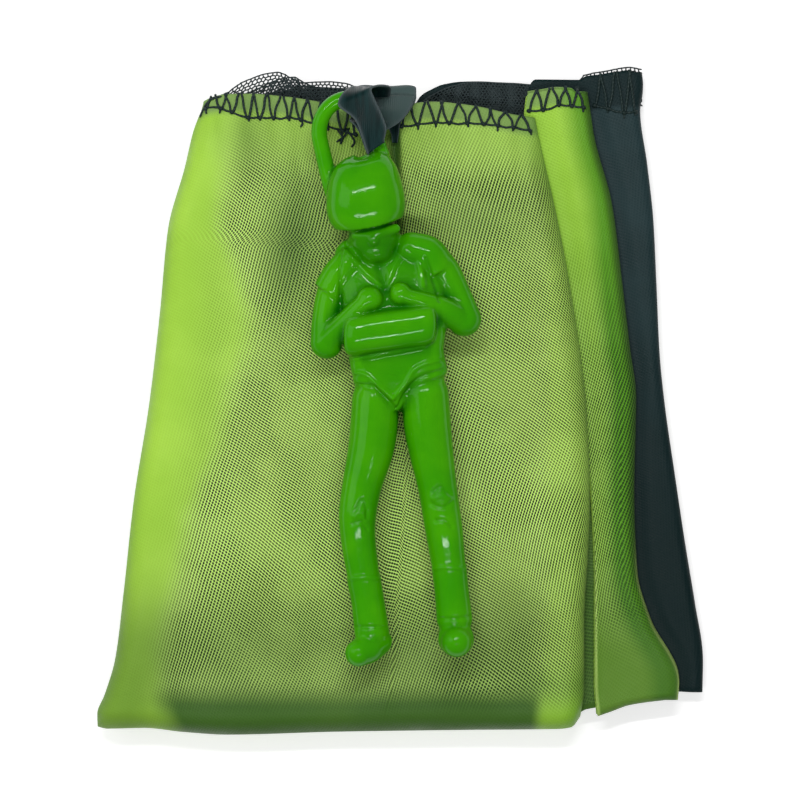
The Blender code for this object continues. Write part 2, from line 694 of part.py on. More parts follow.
def block(shape):
    """Rounded block from its centre and half sizes in the jumper's shares, leaning with the body."""
    (x, y, z), (half_x, half_y, half_z) = shape
    centre = figure_place(x, y, z)
    size = Vector((half_x * figure_width, half_y * figure_height, half_z * figure_depth)) * 2
    shell = bmesh.new()
    bmesh.ops.create_cube(shell, size=1)
    bmesh.ops.scale(shell, vec=size, verts=shell.verts)
    bmesh.ops.bevel(
        shell, geom=shell.edges[:], offset=pack_edge_share * min(size), segments=pack_edge_steps,
        profile=0.5, affect="EDGES",
    )
    for vertex in shell.verts:
        vertex.co.y += pack_lean_share * vertex.co.x
    bmesh.ops.translate(shell, vec=centre, verts=shell.verts)
    mesh = bpy.data.meshes.new("block")
    shell.to_mesh(mesh)
    shell.free()
    return mesh


def egg(shape):
    """Ellipsoid from its centre and radii in the jumper's shares."""
    (x, y, z), (radius_x, radius_y, radius_z) = shape
    radii = Vector((radius_x * figure_width, radius_y * figure_height, radius_z * figure_depth))
    return ball(figure_place(x, y, z), radii)


def eye_stations():
    """The eye's rod as limb stations: left leg, round the arc, right leg."""
    rod = list(EYE_LEG_LEFT_SHARES)
    for step in range(eye_arc_steps + 1):
        angle = eye_arc_start + (eye_arc_end - eye_arc_start) * step / eye_arc_steps
        x = eye_arc_shift_share + math.cos(angle) * eye_half_width / figure_width
        y = math.sin(angle) * eye_radius / figure_height
        rod.append((x, y, 1.0))
    rod += EYE_LEG_RIGHT_SHARES
    return [(x, y, eye_height_share, radius) for x, y, radius in rod]


def figure_lumps():
    """Every primitive of the jumper, still separate."""
    lumps = [
        body_loft(TORSO_SHARES, torso_squareness_share),
        body_loft(HIP_SHARES, hip_squareness_share),
        body_loft(HELMET_SHARES, helmet_squareness_share, helmet_lean_share),
        block(RESERVE_PACK_SHARES), block(BELT_SHARES), block(BACK_PACK_SHARES),
        egg(FACE_SHARES), egg(CHIN_SHARES), egg(NOSE_SHARES),
    ]
    lumps += limb(LEFT_LEG_SHARES, thigh_radius)
    lumps += limb(RIGHT_LEG_SHARES, thigh_radius)
    lumps += limb(LEFT_BOOT_SHARES, boot_radius)
    lumps += limb(RIGHT_BOOT_SHARES, boot_radius)
    lumps += limb(LEFT_FOOT_SHARES, foot_radius)
    lumps += limb(RIGHT_FOOT_SHARES, foot_radius)
    lumps += limb(LEFT_ARM_SHARES, arm_radius)
    lumps += limb(RIGHT_ARM_SHARES, arm_radius)
    lumps += limb(LEFT_FOREARM_SHARES, wrist_radius)
    lumps += limb(RIGHT_FOREARM_SHARES, wrist_radius)
    lumps += limb(BROW_SHARES, wrist_radius)
    lumps += limb(NECK_SHARES, fist_radius)
    lumps += limb(eye_stations(), eye_rod_radius)
    for place in (LEFT_FIST_SHARES, RIGHT_FIST_SHARES):
        lumps.append(ball(figure_place(*place), Vector(FIST_FORM_SHARES) * fist_radius))
    return lumps


def join_meshes(meshes):
    joined = bmesh.new()
    for mesh in meshes:
        joined.from_mesh(mesh)
        bpy.data.meshes.remove(mesh)
    whole = bpy.data.meshes.new("jumper")
    joined.to_mesh(whole)
    joined.free()
    return whole


def evaluated_mesh(piece):
    graph = bpy.context.evaluated_depsgraph_get()
    return bpy.data.meshes.new_from_object(piece.evaluated_get(graph))


def press_lines(mesh, lines, height, width):
    """Moves the front of the moulding along its normals, by a smooth welt or seam on each line."""
    count = len(mesh.vertices)
    points = np.empty(count * 3)
    normals = np.empty(count * 3)
    mesh.vertices.foreach_get("co", points)
    mesh.vertices.foreach_get("normal", normals)
    points = points.reshape(-1, 3)
    normals = normals.reshape(-1, 3)
    push = np.zeros(count)
    for line in lines:
        places = [figure_place(x, y, 0) for x, y in line]
        path = np.array([row[:2] for row in smooth_path(places, path_steps)])
        nearest = np.full(count, np.inf)
        for first, last in zip(path, path[1:]):
            run = last - first
            at = np.clip(((points[:, :2] - first) @ run) / (run @ run), 0, 1)
            gap = np.linalg.norm(points[:, :2] - first - at[:, None] * run, axis=1)
            nearest = np.minimum(nearest, gap)
        push = np.maximum(push, np.exp(-((nearest / width) ** 2)))
    push *= height * np.clip(normals[:, 2] / full_press_slope_share, 0, 1)
    points += normals * push[:, None]
    mesh.vertices.foreach_set("co", points.reshape(-1))
    mesh.update()


def figure_piece(material, collection):
    """The jumper as one moulding: lumps fused by a voxel remesh, softened, then detailed."""
    whole = join_meshes(figure_lumps())
    piece = place_mesh("figure", whole, material, collection, eye_centre)
    fuse = piece.modifiers.new("fuse", "REMESH")
    fuse.mode = "VOXEL"
    fuse.voxel_size = mould_grain
    soften = piece.modifiers.new("soften", "SMOOTH")
    soften.factor = 0.5
    soften.iterations = 4
    fused = evaluated_mesh(piece)
    piece.modifiers.clear()
    fused.transform(piece.matrix_basis)
    press_lines(fused, SEAM_SHARES, -seam_depth, seam_width)
    press_lines(fused, WELT_SHARES, welt_height, seam_width)
    fused.transform(piece.matrix_basis.inverted())
    dense = len(fused.polygons) * 2
    piece.data = fused
    fused.materials.clear()
    fused.materials.append(material)
    fused.shade_smooth()
    thin = piece.modifiers.new("thin", "DECIMATE")
    thin.ratio = figure_triangles / dense
    thin.use_collapse_triangulate = True
    return piece


def main():
    clear_scene()
    toy = new_collection("toy_parachute")
    green = finish_material("canopy_green", *CLOTH_GREEN)
    black = finish_material("canopy_black", *CLOTH_BLACK)
    net = finish_material("net_black", *NET_BLACK)
    satin = finish_material("ribbon_satin", *RIBBON_BLACK)
    plastic = finish_material("figure_plastic", *PLASTIC_GREEN)

    back = flat_leaf(BACK_OUTLINE, 0, back_leaf_thickness, leaf_columns // 2, leaf_rows // 2)
    place_mesh("canopy_back_leaf", back, green, toy)
    inner = flat_leaf(
        INNER_OUTLINE, under_leaf_base, black_inner_thickness, inner_leaf_steps, inner_leaf_steps,
    )
    place_mesh("canopy_black_inner", inner, black, toy)
    side = flat_leaf(
        BLACK_OUTLINE, under_leaf_base, black_leaf_thickness, side_leaf_columns, leaf_rows,
    )
    place_mesh("canopy_black_leaf", side, black, toy)
    pleat = flat_leaf(PLEAT_OUTLINE, upper_base, pleat_thickness, side_leaf_columns, leaf_rows)
    fold_line = Vector((0, fold_line_y, fold_line_z))
    place_mesh("canopy_green_pleat", pleat, green, toy, fold_line)
    front = leaf(FRONT_OUTLINE, front_floor, front_roof, leaf_columns, leaf_rows)
    place_mesh("canopy_front_leaf", front, green, toy, fold_line)

    skirt_left = net_skirt_left_share * bundle_width
    skirt_right = neck_x - ribbon_width / 2 - net_strand - layer_gap
    skirt = net_strip(skirt_left, skirt_right, NET_LEFT_CREST_SHARES, net_depth, upper_base)
    net_piece("net_skirt", skirt, net, toy)
    corner_left, corner_right = [share * bundle_width for share in net_corner_span_shares]
    corner = net_strip(
        corner_left, corner_right, NET_RIGHT_CREST_SHARES, net_corner_depth, net_corner_base,
    )
    net_piece("net_skirt_corner", corner, net, toy)

    place_mesh("ribbon_neck", ribbon_neck_mesh(), satin, toy)
    lift_axis = Vector((neck_x, lift_axis_y, lift_axis_z))
    place_mesh("ribbon_loop", ribbon_loop_mesh(), satin, toy, lift_axis)
    figure_piece(plastic, toy)


main()
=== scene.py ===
"""Looks of a toy parachute, folded flat with its moulded jumper lying on the front leaf.

The cloth leaves, net, hem threads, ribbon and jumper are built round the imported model, in metres
and in its own frame: the hem lies towards +Y, the bottom fold towards -Y, and +Z is up.
"""

import json
import math

import bmesh
import bpy
import numpy as np
from bpy.props import FloatProperty, FloatVectorProperty, IntProperty, PointerProperty
from bpy.types import Operator, Panel, PropertyGroup
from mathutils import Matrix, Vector
from mathutils.bvhtree import BVHTree


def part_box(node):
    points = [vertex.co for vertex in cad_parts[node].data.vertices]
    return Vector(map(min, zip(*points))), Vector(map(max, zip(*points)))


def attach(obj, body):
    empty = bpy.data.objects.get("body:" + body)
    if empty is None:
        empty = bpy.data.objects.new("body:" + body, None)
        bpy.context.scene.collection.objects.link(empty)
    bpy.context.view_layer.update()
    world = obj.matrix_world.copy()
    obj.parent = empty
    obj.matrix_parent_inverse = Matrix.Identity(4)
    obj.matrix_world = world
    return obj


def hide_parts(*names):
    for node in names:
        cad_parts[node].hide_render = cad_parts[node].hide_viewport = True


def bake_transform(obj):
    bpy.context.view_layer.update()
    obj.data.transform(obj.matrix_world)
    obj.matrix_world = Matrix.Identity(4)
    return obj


bl_info = {
    "name": "Folded Toy Parachute",
    "version": (1, 0, 0),
    "blender": (4, 5, 0),
    "location": "3D View > Sidebar > Parachute",
    "description": "Builds the cloth, net, threads, ribbon and moulded jumper of a toy parachute",
    "category": "Object",
}

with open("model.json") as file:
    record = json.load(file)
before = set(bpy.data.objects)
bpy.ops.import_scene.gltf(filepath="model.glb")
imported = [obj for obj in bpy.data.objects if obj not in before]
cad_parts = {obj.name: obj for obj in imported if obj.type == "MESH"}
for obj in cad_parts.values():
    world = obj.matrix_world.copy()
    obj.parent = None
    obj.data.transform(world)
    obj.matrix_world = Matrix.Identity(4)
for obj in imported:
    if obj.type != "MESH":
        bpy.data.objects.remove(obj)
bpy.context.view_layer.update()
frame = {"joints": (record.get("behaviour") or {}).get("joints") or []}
joint_places = {joint["name"]: Vector(joint["pos_m"]) for joint in frame["joints"]}

MM = 0.001

# Outlines of the leaves. Edges are (share from hem to bottom fold, share of the bundle's width)
# and ends are (share from left to right, share of the bundle's length).
FRONT_LEFT = [
    (0.00, -0.324), (0.013, -0.328), (0.024, -0.333), (0.046, -0.341), (0.07, -0.347),
    (0.10, -0.354), (0.20, -0.382), (0.33, -0.395), (0.48, -0.413), (0.64, -0.439),
    (0.79, -0.456), (0.89, -0.469), (0.95, -0.487), (0.98, -0.499), (1.00, -0.4985),
]
FRONT_RIGHT = [
    (0.00, 0.222), (0.03, 0.228), (0.07, 0.237), (0.14, 0.253), (0.26, 0.276),
    (0.40, 0.297), (0.48, 0.306), (0.64, 0.312), (0.73, 0.309), (0.84, 0.303), (0.95, 0.303),
    (1.00, 0.297),
]
FRONT_HEM = [
    (0.00, 0.446), (0.02, 0.452), (0.05, 0.456), (0.12, 0.457), (0.25, 0.452), (0.33, 0.446),
    (0.45, 0.436), (0.55, 0.436), (0.63, 0.442), (0.70, 0.445), (0.78, 0.442),
    (0.85, 0.437), (0.93, 0.428), (1.00, 0.421),
]
FRONT_BOTTOM = [
    (0.00, -0.488), (0.02, -0.491), (0.10, -0.490), (0.18, -0.496), (0.27, -0.500),
    (0.50, -0.4955), (0.75, -0.493), (0.95, -0.4915), (0.98, -0.489), (1.00, -0.473),
]
PLEAT_LEFT = [
    (0.00, 0.211), (0.04, 0.207), (0.20, 0.216), (0.40, 0.252), (0.55, 0.292), (0.63, 0.316),
    (0.79, 0.323), (0.95, 0.323), (1.00, 0.327),
]
PLEAT_RIGHT = [
    (0.00, 0.309), (0.03, 0.314), (0.07, 0.320), (0.18, 0.349), (0.31, 0.366),
    (0.42, 0.379), (0.50, 0.389), (0.66, 0.386), (0.79, 0.391), (0.87, 0.413),
    (0.97, 0.460), (1.00, 0.458),
]
PLEAT_HEM = [
    (0.00, 0.461), (0.30, 0.464), (0.60, 0.467), (0.92, 0.4655), (1.00, 0.4605),
]
PLEAT_BOTTOM = [(0.00, -0.472), (0.20, -0.465), (0.45, -0.456), (0.75, -0.451), (1.00, -0.448)]
BLACK_LEFT = [(0.00, 0.213), (0.02, 0.211), (0.15, 0.235), (1.00, 0.250)]
BLACK_RIGHT = [
    (0.00, 0.399), (0.02, 0.401), (0.06, 0.396), (0.15, 0.408), (0.24, 0.418),
    (0.34, 0.423), (0.45, 0.428), (0.53, 0.436), (0.64, 0.452), (0.77, 0.472),
    (0.86, 0.487), (0.95, 0.500), (1.00, 0.499),
]
BLACK_HEM = [
    (0.00, 0.467), (0.02, 0.475), (0.06, 0.480), (0.50, 0.4795), (0.54, 0.4845), (0.68, 0.4875),
    (0.92, 0.4925), (1.00, 0.491),
]
BLACK_BOTTOM = [(0.00, -0.433), (0.70, -0.434), (1.00, -0.437)]
INNER_LEFT = [
    (0.00, -0.300), (0.08, -0.330), (0.19, -0.319), (0.34, -0.264), (0.50, -0.310),
    (0.66, -0.355), (0.87, -0.416), (1.00, -0.396),
]
INNER_RIGHT = [(0.00, 0.236), (0.75, 0.240), (1.00, 0.221)]
INNER_HEM = [
    (0.00, 0.428), (0.16, 0.436), (0.20, 0.466), (0.27, 0.471), (0.40, 0.469), (0.45, 0.456),
    (0.58, 0.436), (0.605, 0.446), (0.625, 0.460), (0.655, 0.4685), (0.69, 0.476), (0.75, 0.4805),
    (0.80, 0.481), (0.95, 0.476), (1.00, 0.475),
]
INNER_BOTTOM = [(0.00, -0.460), (0.10, -0.472), (0.90, -0.474), (1.00, -0.462)]
BACK_LEFT = [
    (0.00, -0.312), (0.15, -0.356), (0.40, -0.391), (0.64, -0.430), (0.89, -0.460),
    (1.00, -0.482),
]
BACK_SPLIT = [(0.00, 0.210), (1.00, 0.285)]
BACK_RIGHT = [
    (0.00, 0.380), (0.15, 0.390), (0.40, 0.412), (0.64, 0.434), (0.86, 0.464), (1.00, 0.452),
]
BACK_HEM = [(0.00, 0.428), (0.30, 0.434), (0.70, 0.432), (1.00, 0.428)]
BACK_BOTTOM = [(0.00, -0.460), (0.20, -0.454), (0.50, -0.436), (1.00, -0.424)]

# Soft shade on the front leaf: place and reach as shares of the bundle's size, and depth.
SHADE_PATCHES = [
    (-0.252, 0.388, 0.028, 0.064, 0.34), (-0.155, 0.255, 0.062, 0.100, 0.42),
    (0.118, 0.268, 0.105, 0.060, 0.34), (0.240, 0.330, 0.045, 0.100, 0.24),
    (-0.188, 0.190, 0.042, 0.110, 0.34), (0.000, 0.410, 0.300, 0.050, 0.24),
    (0.175, -0.300, 0.085, 0.080, 0.20), (0.085, 0.120, 0.040, 0.050, 0.20),
    (-0.060, -0.090, 0.050, 0.120, 0.12),
]

# Folds pressed into the front leaf: two ends as shares of the bundle, depth as a share of the
# leaf's rise, and the half widths to the fold's left and right as shares of the bundle's width.
FRONT_FOLDS = [
    ((-0.009, 0.440), (-0.004, 0.240), 0.44, 0.016, 0.006),
    ((0.015, 0.250), (0.160, 0.000), 0.18, 0.040, 0.040),
    ((-0.260, 0.330), (-0.330, -0.250), 0.16, 0.035, 0.025),
    ((-0.200, -0.300), (0.120, -0.380), 0.12, 0.040, 0.040),
    ((0.230, 0.150), (0.200, -0.380), 0.16, 0.030, 0.030),
    ((-0.180, 0.420), (-0.150, 0.300), 0.14, 0.020, 0.020),
    ((0.130, 0.430), (0.145, 0.310), 0.16, 0.020, 0.020),
]


def along(table, share):
    """Smooth values of a table of (share, value) rows: a cubic through them without overshoot."""
    at, values = np.array(table, float).T
    steps = np.diff(at)
    slopes = np.diff(values) / steps
    tangents = np.zeros(len(at))
    tangents[0], tangents[-1] = slopes[0], slopes[-1]
    for i in range(1, len(at) - 1):
        if slopes[i - 1] * slopes[i] > 0:
            tangents[i] = 2 * slopes[i - 1] * slopes[i] / (slopes[i - 1] + slopes[i])
    share = np.asarray(share, float)
    i = np.clip(np.searchsorted(at, share) - 1, 0, len(steps) - 1)
    t = np.clip((share - at[i]) / steps[i], 0, 1)
    rise = (1 + 2 * t) * (1 - t) ** 2 * values[i] + t * t * (3 - 2 * t) * values[i + 1]
    return rise + steps[i] * (t * (1 - t) ** 2 * tangents[i] - t * t * (1 - t) * tangents[i + 1])


def ease(value, low, high):
    """Smooth step from 0 at low to 1 at high."""
    t = np.clip((np.asarray(value, float) - low) / (high - low), 0, 1)
    return t * t * (3 - 2 * t)


def smooth_path(points, steps):
    """Points along a Catmull-Rom curve through rows of numbers, ends included."""
    rows = [np.array(row, float) for row in points]
    padded = [2 * rows[0] - rows[1]] + rows + [2 * rows[-1] - rows[-2]]
    path = []
    for before, start, end, after in zip(padded, padded[1:], padded[2:], padded[3:]):
        for step in range(steps):
            t = step / steps
            path.append(
                0.5 * (
                    2 * start
                    + (end - before) * t
                    + (2 * before - 5 * start + 4 * end - after) * t * t
                    + (3 * start - before - 3 * end + after) * t ** 3
                )
            )
    path.append(rows[-1])
    return np.array(path)


def waves(x, y, size, seed):
    """Soft uneven waves over a plane, from about -1 to 1, the same on every run."""
    draw = np.random.default_rng(seed)
    total = np.zeros(np.broadcast(x, y).shape)
    weight = 0.0
    for octave in range(3):
        for _ in range(5):
            angle = draw.uniform(0, math.pi)
            pitch = size * draw.uniform(0.7, 1.4) / 2 ** octave
            phase = draw.uniform(0, 2 * math.pi)
            run = (x * math.cos(angle) + y * math.sin(angle)) / pitch
            total = total + np.sin(2 * math.pi * run + phase) / 2 ** octave
        weight += 2.2 / 2 ** octave
    return total / weight


def link_piece(name, mesh, material):
    """Object over a mesh in the scene, smooth and with its material."""
    mesh.materials.clear()
    mesh.materials.append(material)
    mesh.shade_smooth()
    piece = bpy.data.objects.new(name, mesh)
    bpy.context.scene.collection.objects.link(piece)
    return piece


def keep_values(mesh, **layers):
    """Stores numbers or vectors on the points of a mesh for its material."""
    for name, values in layers.items():
        values = np.asarray(values, np.float32)
        kind, field = ("FLOAT_VECTOR", "vector") if values.ndim == 2 else ("FLOAT", "value")
        mesh.attributes.new(name, kind, "POINT").data.foreach_set(field, values.ravel())


def new_mesh(name, vertices, faces):
    """Mesh over lists of points and faces."""
    mesh = bpy.data.meshes.new(name)
    mesh.from_pydata(vertices, [], faces)
    return mesh


def grid_mesh(name, points, valid, **layers):
    """Mesh over the valid points of a grid, its rows running down and its columns across."""
    index = np.full(valid.shape, -1)
    index[valid] = np.arange(valid.sum())
    corners = [index[:-1, :-1], index[1:, :-1], index[1:, 1:], index[:-1, 1:]]
    whole = np.logical_and.reduce([corner >= 0 for corner in corners])
    faces = np.stack([corner[whole] for corner in corners], axis=1)
    mesh = new_mesh(name, points[valid].tolist(), faces.tolist())
    across = np.zeros(valid.shape)
    down = np.zeros(valid.shape)
    across[:, 1:] = np.cumsum(np.linalg.norm(np.diff(points, axis=1), axis=2), axis=1)
    down[1:] = np.cumsum(np.linalg.norm(np.diff(points, axis=0), axis=2), axis=0)
    middle = valid.shape[1] // 2
    across += (points[:, middle, 0] - across[:, middle])[:, None]
    place = np.stack([across, -down, np.zeros(valid.shape)], axis=2) / MM
    keep_values(mesh, cloth_place=place[valid], **{
        layer: np.broadcast_to(values, valid.shape)[valid] for layer, values in layers.items()
    })
    return mesh


# Node trees


def feed(tree, made, inputs):
    """Fills a node's inputs with numbers, colours or the sockets that feed them."""
    for key, value in inputs.items():
        if isinstance(value, bpy.types.NodeSocket):
            tree.links.new(value, made.inputs[key])
        else:
            made.inputs[key].default_value = value


def add_node(tree, kind, inputs=None, **settings):
    """Adds a node with its settings and its inputs."""
    made = tree.nodes.new(kind)
    for key, value in settings.items():
        setattr(made, key, value)
    feed(tree, made, inputs or {})
    return made


def figure_out(tree, operation, *values, clamp=False):
    """Result of a Math node."""
    made = add_node(
        tree, "ShaderNodeMath", dict(enumerate(values)), operation=operation, use_clamp=clamp,
    )
    return made.outputs[0]


def vector_out(tree, operation, inputs):
    """Result of a Vector Math node."""
    return add_node(tree, "ShaderNodeVectorMath", inputs, operation=operation).outputs[0]


def ripple(tree, phase):
    """Sine of a value, from 0 to 1."""
    return figure_out(tree, "MULTIPLY_ADD", figure_out(tree, "SINE", phase), 0.5, 0.5)


def blend_colours(tree, share, first, second):
    """Colour between two, each a socket or three numbers."""
    ends = [
        value if isinstance(value, bpy.types.NodeSocket) else (*value, 1)
        for value in (first, second)
    ]
    made = add_node(tree, "ShaderNodeMix", {0: share, 6: ends[0], 7: ends[1]}, data_type="RGBA")
    return made.outputs[2]


def lay_colours(tree, base, *layers):
    """Lays colours over a base in turn, each by its share."""
    for share, over in layers:
        base = blend_colours(tree, share, base, over)
    return base


def span(tree, value, low, high, start=0.0, end=1.0):
    """Smoothly maps low..high of a value to start..end."""
    made = add_node(
        tree, "ShaderNodeMapRange", {0: value, 1: low, 2: high, 3: start, 4: end},
        interpolation_type="SMOOTHSTEP",
    )
    return made.outputs[0]


def new_group(name, numbers, results):
    """Empty shader group over a place on a surface, with its two end nodes."""
    tree = bpy.data.node_groups.new(name, "ShaderNodeTree")
    tree.interface.new_socket(name="Place", in_out="INPUT", socket_type="NodeSocketVector")
    for label in numbers:
        tree.interface.new_socket(name=label, in_out="INPUT", socket_type="NodeSocketFloat")
    for label in results:
        tree.interface.new_socket(name=label, in_out="OUTPUT", socket_type="NodeSocketFloat")
    return tree, tree.nodes.new("NodeGroupInput"), tree.nodes.new("NodeGroupOutput")


def weave_group():
    """Plain weave: thread height, the holes between the threads and the fine ribs."""
    found = bpy.data.node_groups.get("plain_weave")
    if found:
        return found
    tree, given, out = new_group(
        "plain_weave", ["Pitch", "Turn", "Waver"], ["Threads", "Holes", "Ribs"],
    )
    place = given.outputs["Place"]
    drift = add_node(
        tree, "ShaderNodeTexNoise", {"Vector": place, "Scale": 0.032, "Detail": 0.0},
    )
    centred = vector_out(tree, "SUBTRACT", {0: drift.outputs["Color"], 1: (0.5, 0.5, 0.5)})
    scaled = vector_out(tree, "SCALE", {0: centred, "Scale": given.outputs["Waver"]})
    moved = vector_out(tree, "ADD", {0: place, 1: scaled})
    turned = add_node(
        tree, "ShaderNodeVectorRotate", {"Vector": moved, "Angle": given.outputs["Turn"]},
        rotation_type="Z_AXIS",
    )
    rate = figure_out(tree, "DIVIDE", 2 * math.pi, given.outputs["Pitch"])
    split = add_node(tree, "ShaderNodeSeparateXYZ", {0: turned.outputs[0]})
    skewed = figure_out(tree, "MULTIPLY_ADD", split.outputs[0], 0.27, split.outputs[1])
    heights = [
        ripple(tree, figure_out(tree, "MULTIPLY", run, rate)) for run in (split.outputs[0], skewed)
    ]
    threads = figure_out(tree, "MAXIMUM", *heights)
    lean = span(tree, drift.outputs["Fac"], 0.40, 0.60, 0.45, 1.55)
    gaps = [
        figure_out(tree, "POWER", figure_out(tree, "SUBTRACT", 1.0, height), power)
        for height, power in zip(heights, (lean, figure_out(tree, "SUBTRACT", 2.0, lean)))
    ]
    holes = span(tree, figure_out(tree, "MULTIPLY", *gaps), 0.06, 0.22)
    feed(tree, out, {"Threads": threads, "Holes": holes, "Ribs": heights[0]})
    return tree


def mottle_group():
    """Soft uneven tone over a surface, and a finer speckle."""
    found = bpy.data.node_groups.get("soft_mottle")
    if found:
        return found
    tree, given, out = new_group("soft_mottle", ["Size"], ["Tone", "Speckle"])
    for label, rate, low, high in (("Tone", 1.0, 0.3, 0.7), ("Speckle", 9.0, 0.35, 0.65)):
        scale = figure_out(tree, "DIVIDE", rate, given.outputs["Size"])
        noise = add_node(
            tree, "ShaderNodeTexNoise",
            {"Vector": given.outputs["Place"], "Scale": scale, "Detail": 3.0},
        )
        feed(tree, out, {label: span(tree, noise.outputs["Fac"], low, high)})
    return tree


def use_group(tree, group, **inputs):
    """Adds a shader group with its inputs."""
    return add_node(tree, "ShaderNodeGroup", inputs, node_tree=group)


def woven(tree, place, cloth):
    """The canopy's weave at a place on its cloth."""
    return use_group(
        tree, weave_group(), Place=place, Pitch=cloth.thread_pitch / MM, Turn=cloth.weave_turn,
        Waver=cloth.weave_waver,
    )


def new_material(name, **constants):
    """Material with a Principled shader whose named inputs are set as constants."""
    material = bpy.data.materials.new(name)
    material.use_nodes = True
    tree = material.node_tree
    shader = tree.nodes["Principled BSDF"]
    for label, value in constants.items():
        shader.inputs[label.replace("_", " ")].default_value = value
    return material, tree, shader


def finish_surface(tree, shader, base, roughness, height, distance):
    """Feeds a shader its colour, its roughness and a fine relief."""
    relief = add_node(
        tree, "ShaderNodeBump", {"Height": height, "Distance": distance, "Strength": 1.0},
    )
    feed(tree, shader, {
        "Base Color": base, "Roughness": roughness, "Normal": relief.outputs[0],
    })


def stored(tree, name, kind="Fac"):
    """A value kept on the mesh's points."""
    made = add_node(tree, "ShaderNodeAttribute", attribute_name=name, attribute_type="GEOMETRY")
    return made.outputs[kind]


def green_cloth():
    """Thin woven cloth: bright where it lies on itself, dark dots where black cloth lies under;
    painted shade, also along its folded edges, and painted highlights along the pleat's rims.
    """
    cloth = bpy.context.scene.parachute_cloth
    material, tree, shader = new_material(
        "canopy_green", Sheen_Weight=0.04, Sheen_Roughness=0.4, Specular_IOR_Level=0.2,
    )
    place = stored(tree, "cloth_place", "Vector")
    under, open_share, shade, edge, rim_highlight, band = (
        stored(tree, name)
        for name in ("underlay", "openness", "shade", "fold_edge_shade", "rim_highlight", "hem_band")
    )
    weave = woven(tree, place, cloth)
    tone = use_group(tree, mottle_group(), Place=place, Size=14.0).outputs["Tone"]
    crest = figure_out(tree, "MULTIPLY", weave.outputs["Threads"], open_share)
    crest = figure_out(tree, "MULTIPLY", crest, 0.62)
    depth = figure_out(tree, "MULTIPLY", open_share, span(tree, tone, 0.0, 1.0, 0.85, 1.1))
    holes = figure_out(tree, "MULTIPLY", weave.outputs["Holes"], depth, clamp=True)
    base = blend_colours(tree, tone, cloth.green_light, cloth.green_mid)
    # Painted shade on folded edges and in shaded places, and a painted highlight along the pleat's
    # rims, laid over the cloth's colours.
    base = lay_colours(
        tree, base, (under, cloth.green_over_black), (band, cloth.green_hem),
        (crest, cloth.green_crest_and_rim_highlight), (edge, cloth.green_edge_shade), (shade, cloth.green_shade),
        (rim_highlight, cloth.green_crest_and_rim_highlight), (holes, cloth.green_hole),
    )
    roughness = span(tree, tone, 0.0, 1.0, 0.46, 0.60)
    finish_surface(tree, shader, base, roughness, weave.outputs["Threads"], 0.05 * MM)
    return material


def black_cloth():
    """Thin black woven cloth with a satin face, with painted shade towards the bottom and along its
    hem.
    """
    cloth = bpy.context.scene.parachute_cloth
    material, tree, shader = new_material(
        "canopy_black", Sheen_Weight=0.01, Sheen_Roughness=0.35, Specular_IOR_Level=0.10,
    )
    place = stored(tree, "cloth_place", "Vector")
    weave = woven(tree, place, cloth)
    tone = use_group(tree, mottle_group(), Place=place, Size=10.0).outputs["Tone"]
    crest = figure_out(tree, "MULTIPLY", weave.outputs["Threads"], 0.35)
    base = blend_colours(tree, tone, cloth.black_low, cloth.black_high)
    base = lay_colours(
        tree, base, (crest, cloth.black_crest), (stored(tree, "shade"), cloth.black_shade),
    )
    roughness = span(tree, tone, 0.0, 1.0, 0.40, 0.52)
    finish_surface(tree, shader, base, roughness, weave.outputs["Threads"], 0.04 * MM)
    return material


def strand_material(name, dark, light, twist):
    """Fine dyed yarn with the light catching its twisted plies."""
    material, tree, shader = new_material(name, Specular_IOR_Level=0.35)
    place = stored(tree, "strand_place", "Vector")
    split = add_node(tree, "ShaderNodeSeparateXYZ", {0: place})
    ply = ripple(
        tree, figure_out(tree, "MULTIPLY_ADD", split.outputs[0], twist, split.outputs[1]),
    )
    speckle = use_group(tree, mottle_group(), Place=place, Size=3.0).outputs["Speckle"]
    share = figure_out(tree, "MULTIPLY", ply, span(tree, speckle, 0, 1, 0.4, 1.0))
    base = blend_colours(tree, share, dark, light)
    finish_surface(tree, shader, base, span(tree, ply, 0.0, 1.0, 0.70, 0.50), ply, 0.04 * MM)
    return material


def ribbon_satin():
    """Black satin: fine ribs along the ribbon, a painted soft grey sheen in streaks, painted light
    where it turns to the lamps and painted highlights along both edges.
    """
    trim = bpy.context.scene.parachute_trim
    material, tree, shader = new_material("ribbon_satin", Specular_IOR_Level=0.07)
    place = stored(tree, "cloth_place", "Vector")
    weave = use_group(
        tree, weave_group(), Place=place, Pitch=trim.ribbon_rib_pitch / MM, Turn=0.0, Waver=0.3,
    )
    stretched = vector_out(tree, "MULTIPLY", {0: place, 1: (1.0, 0.12, 1.0)})
    streak = use_group(tree, mottle_group(), Place=stretched, Size=1.2).outputs["Tone"]
    base = blend_colours(tree, streak, trim.ribbon_dark, trim.ribbon_light)
    # Painted light where the satin turns to the lamps, and painted highlights along both edges.
    base = lay_colours(
        tree, base, (stored(tree, "lit"), trim.ribbon_lit),
        (stored(tree, "selvedge"), trim.ribbon_selvedge),
    )
    roughness = span(tree, streak, 0.0, 1.0, 0.30, 0.44)
    finish_surface(tree, shader, base, roughness, weave.outputs["Ribs"], 0.03 * MM)
    return material


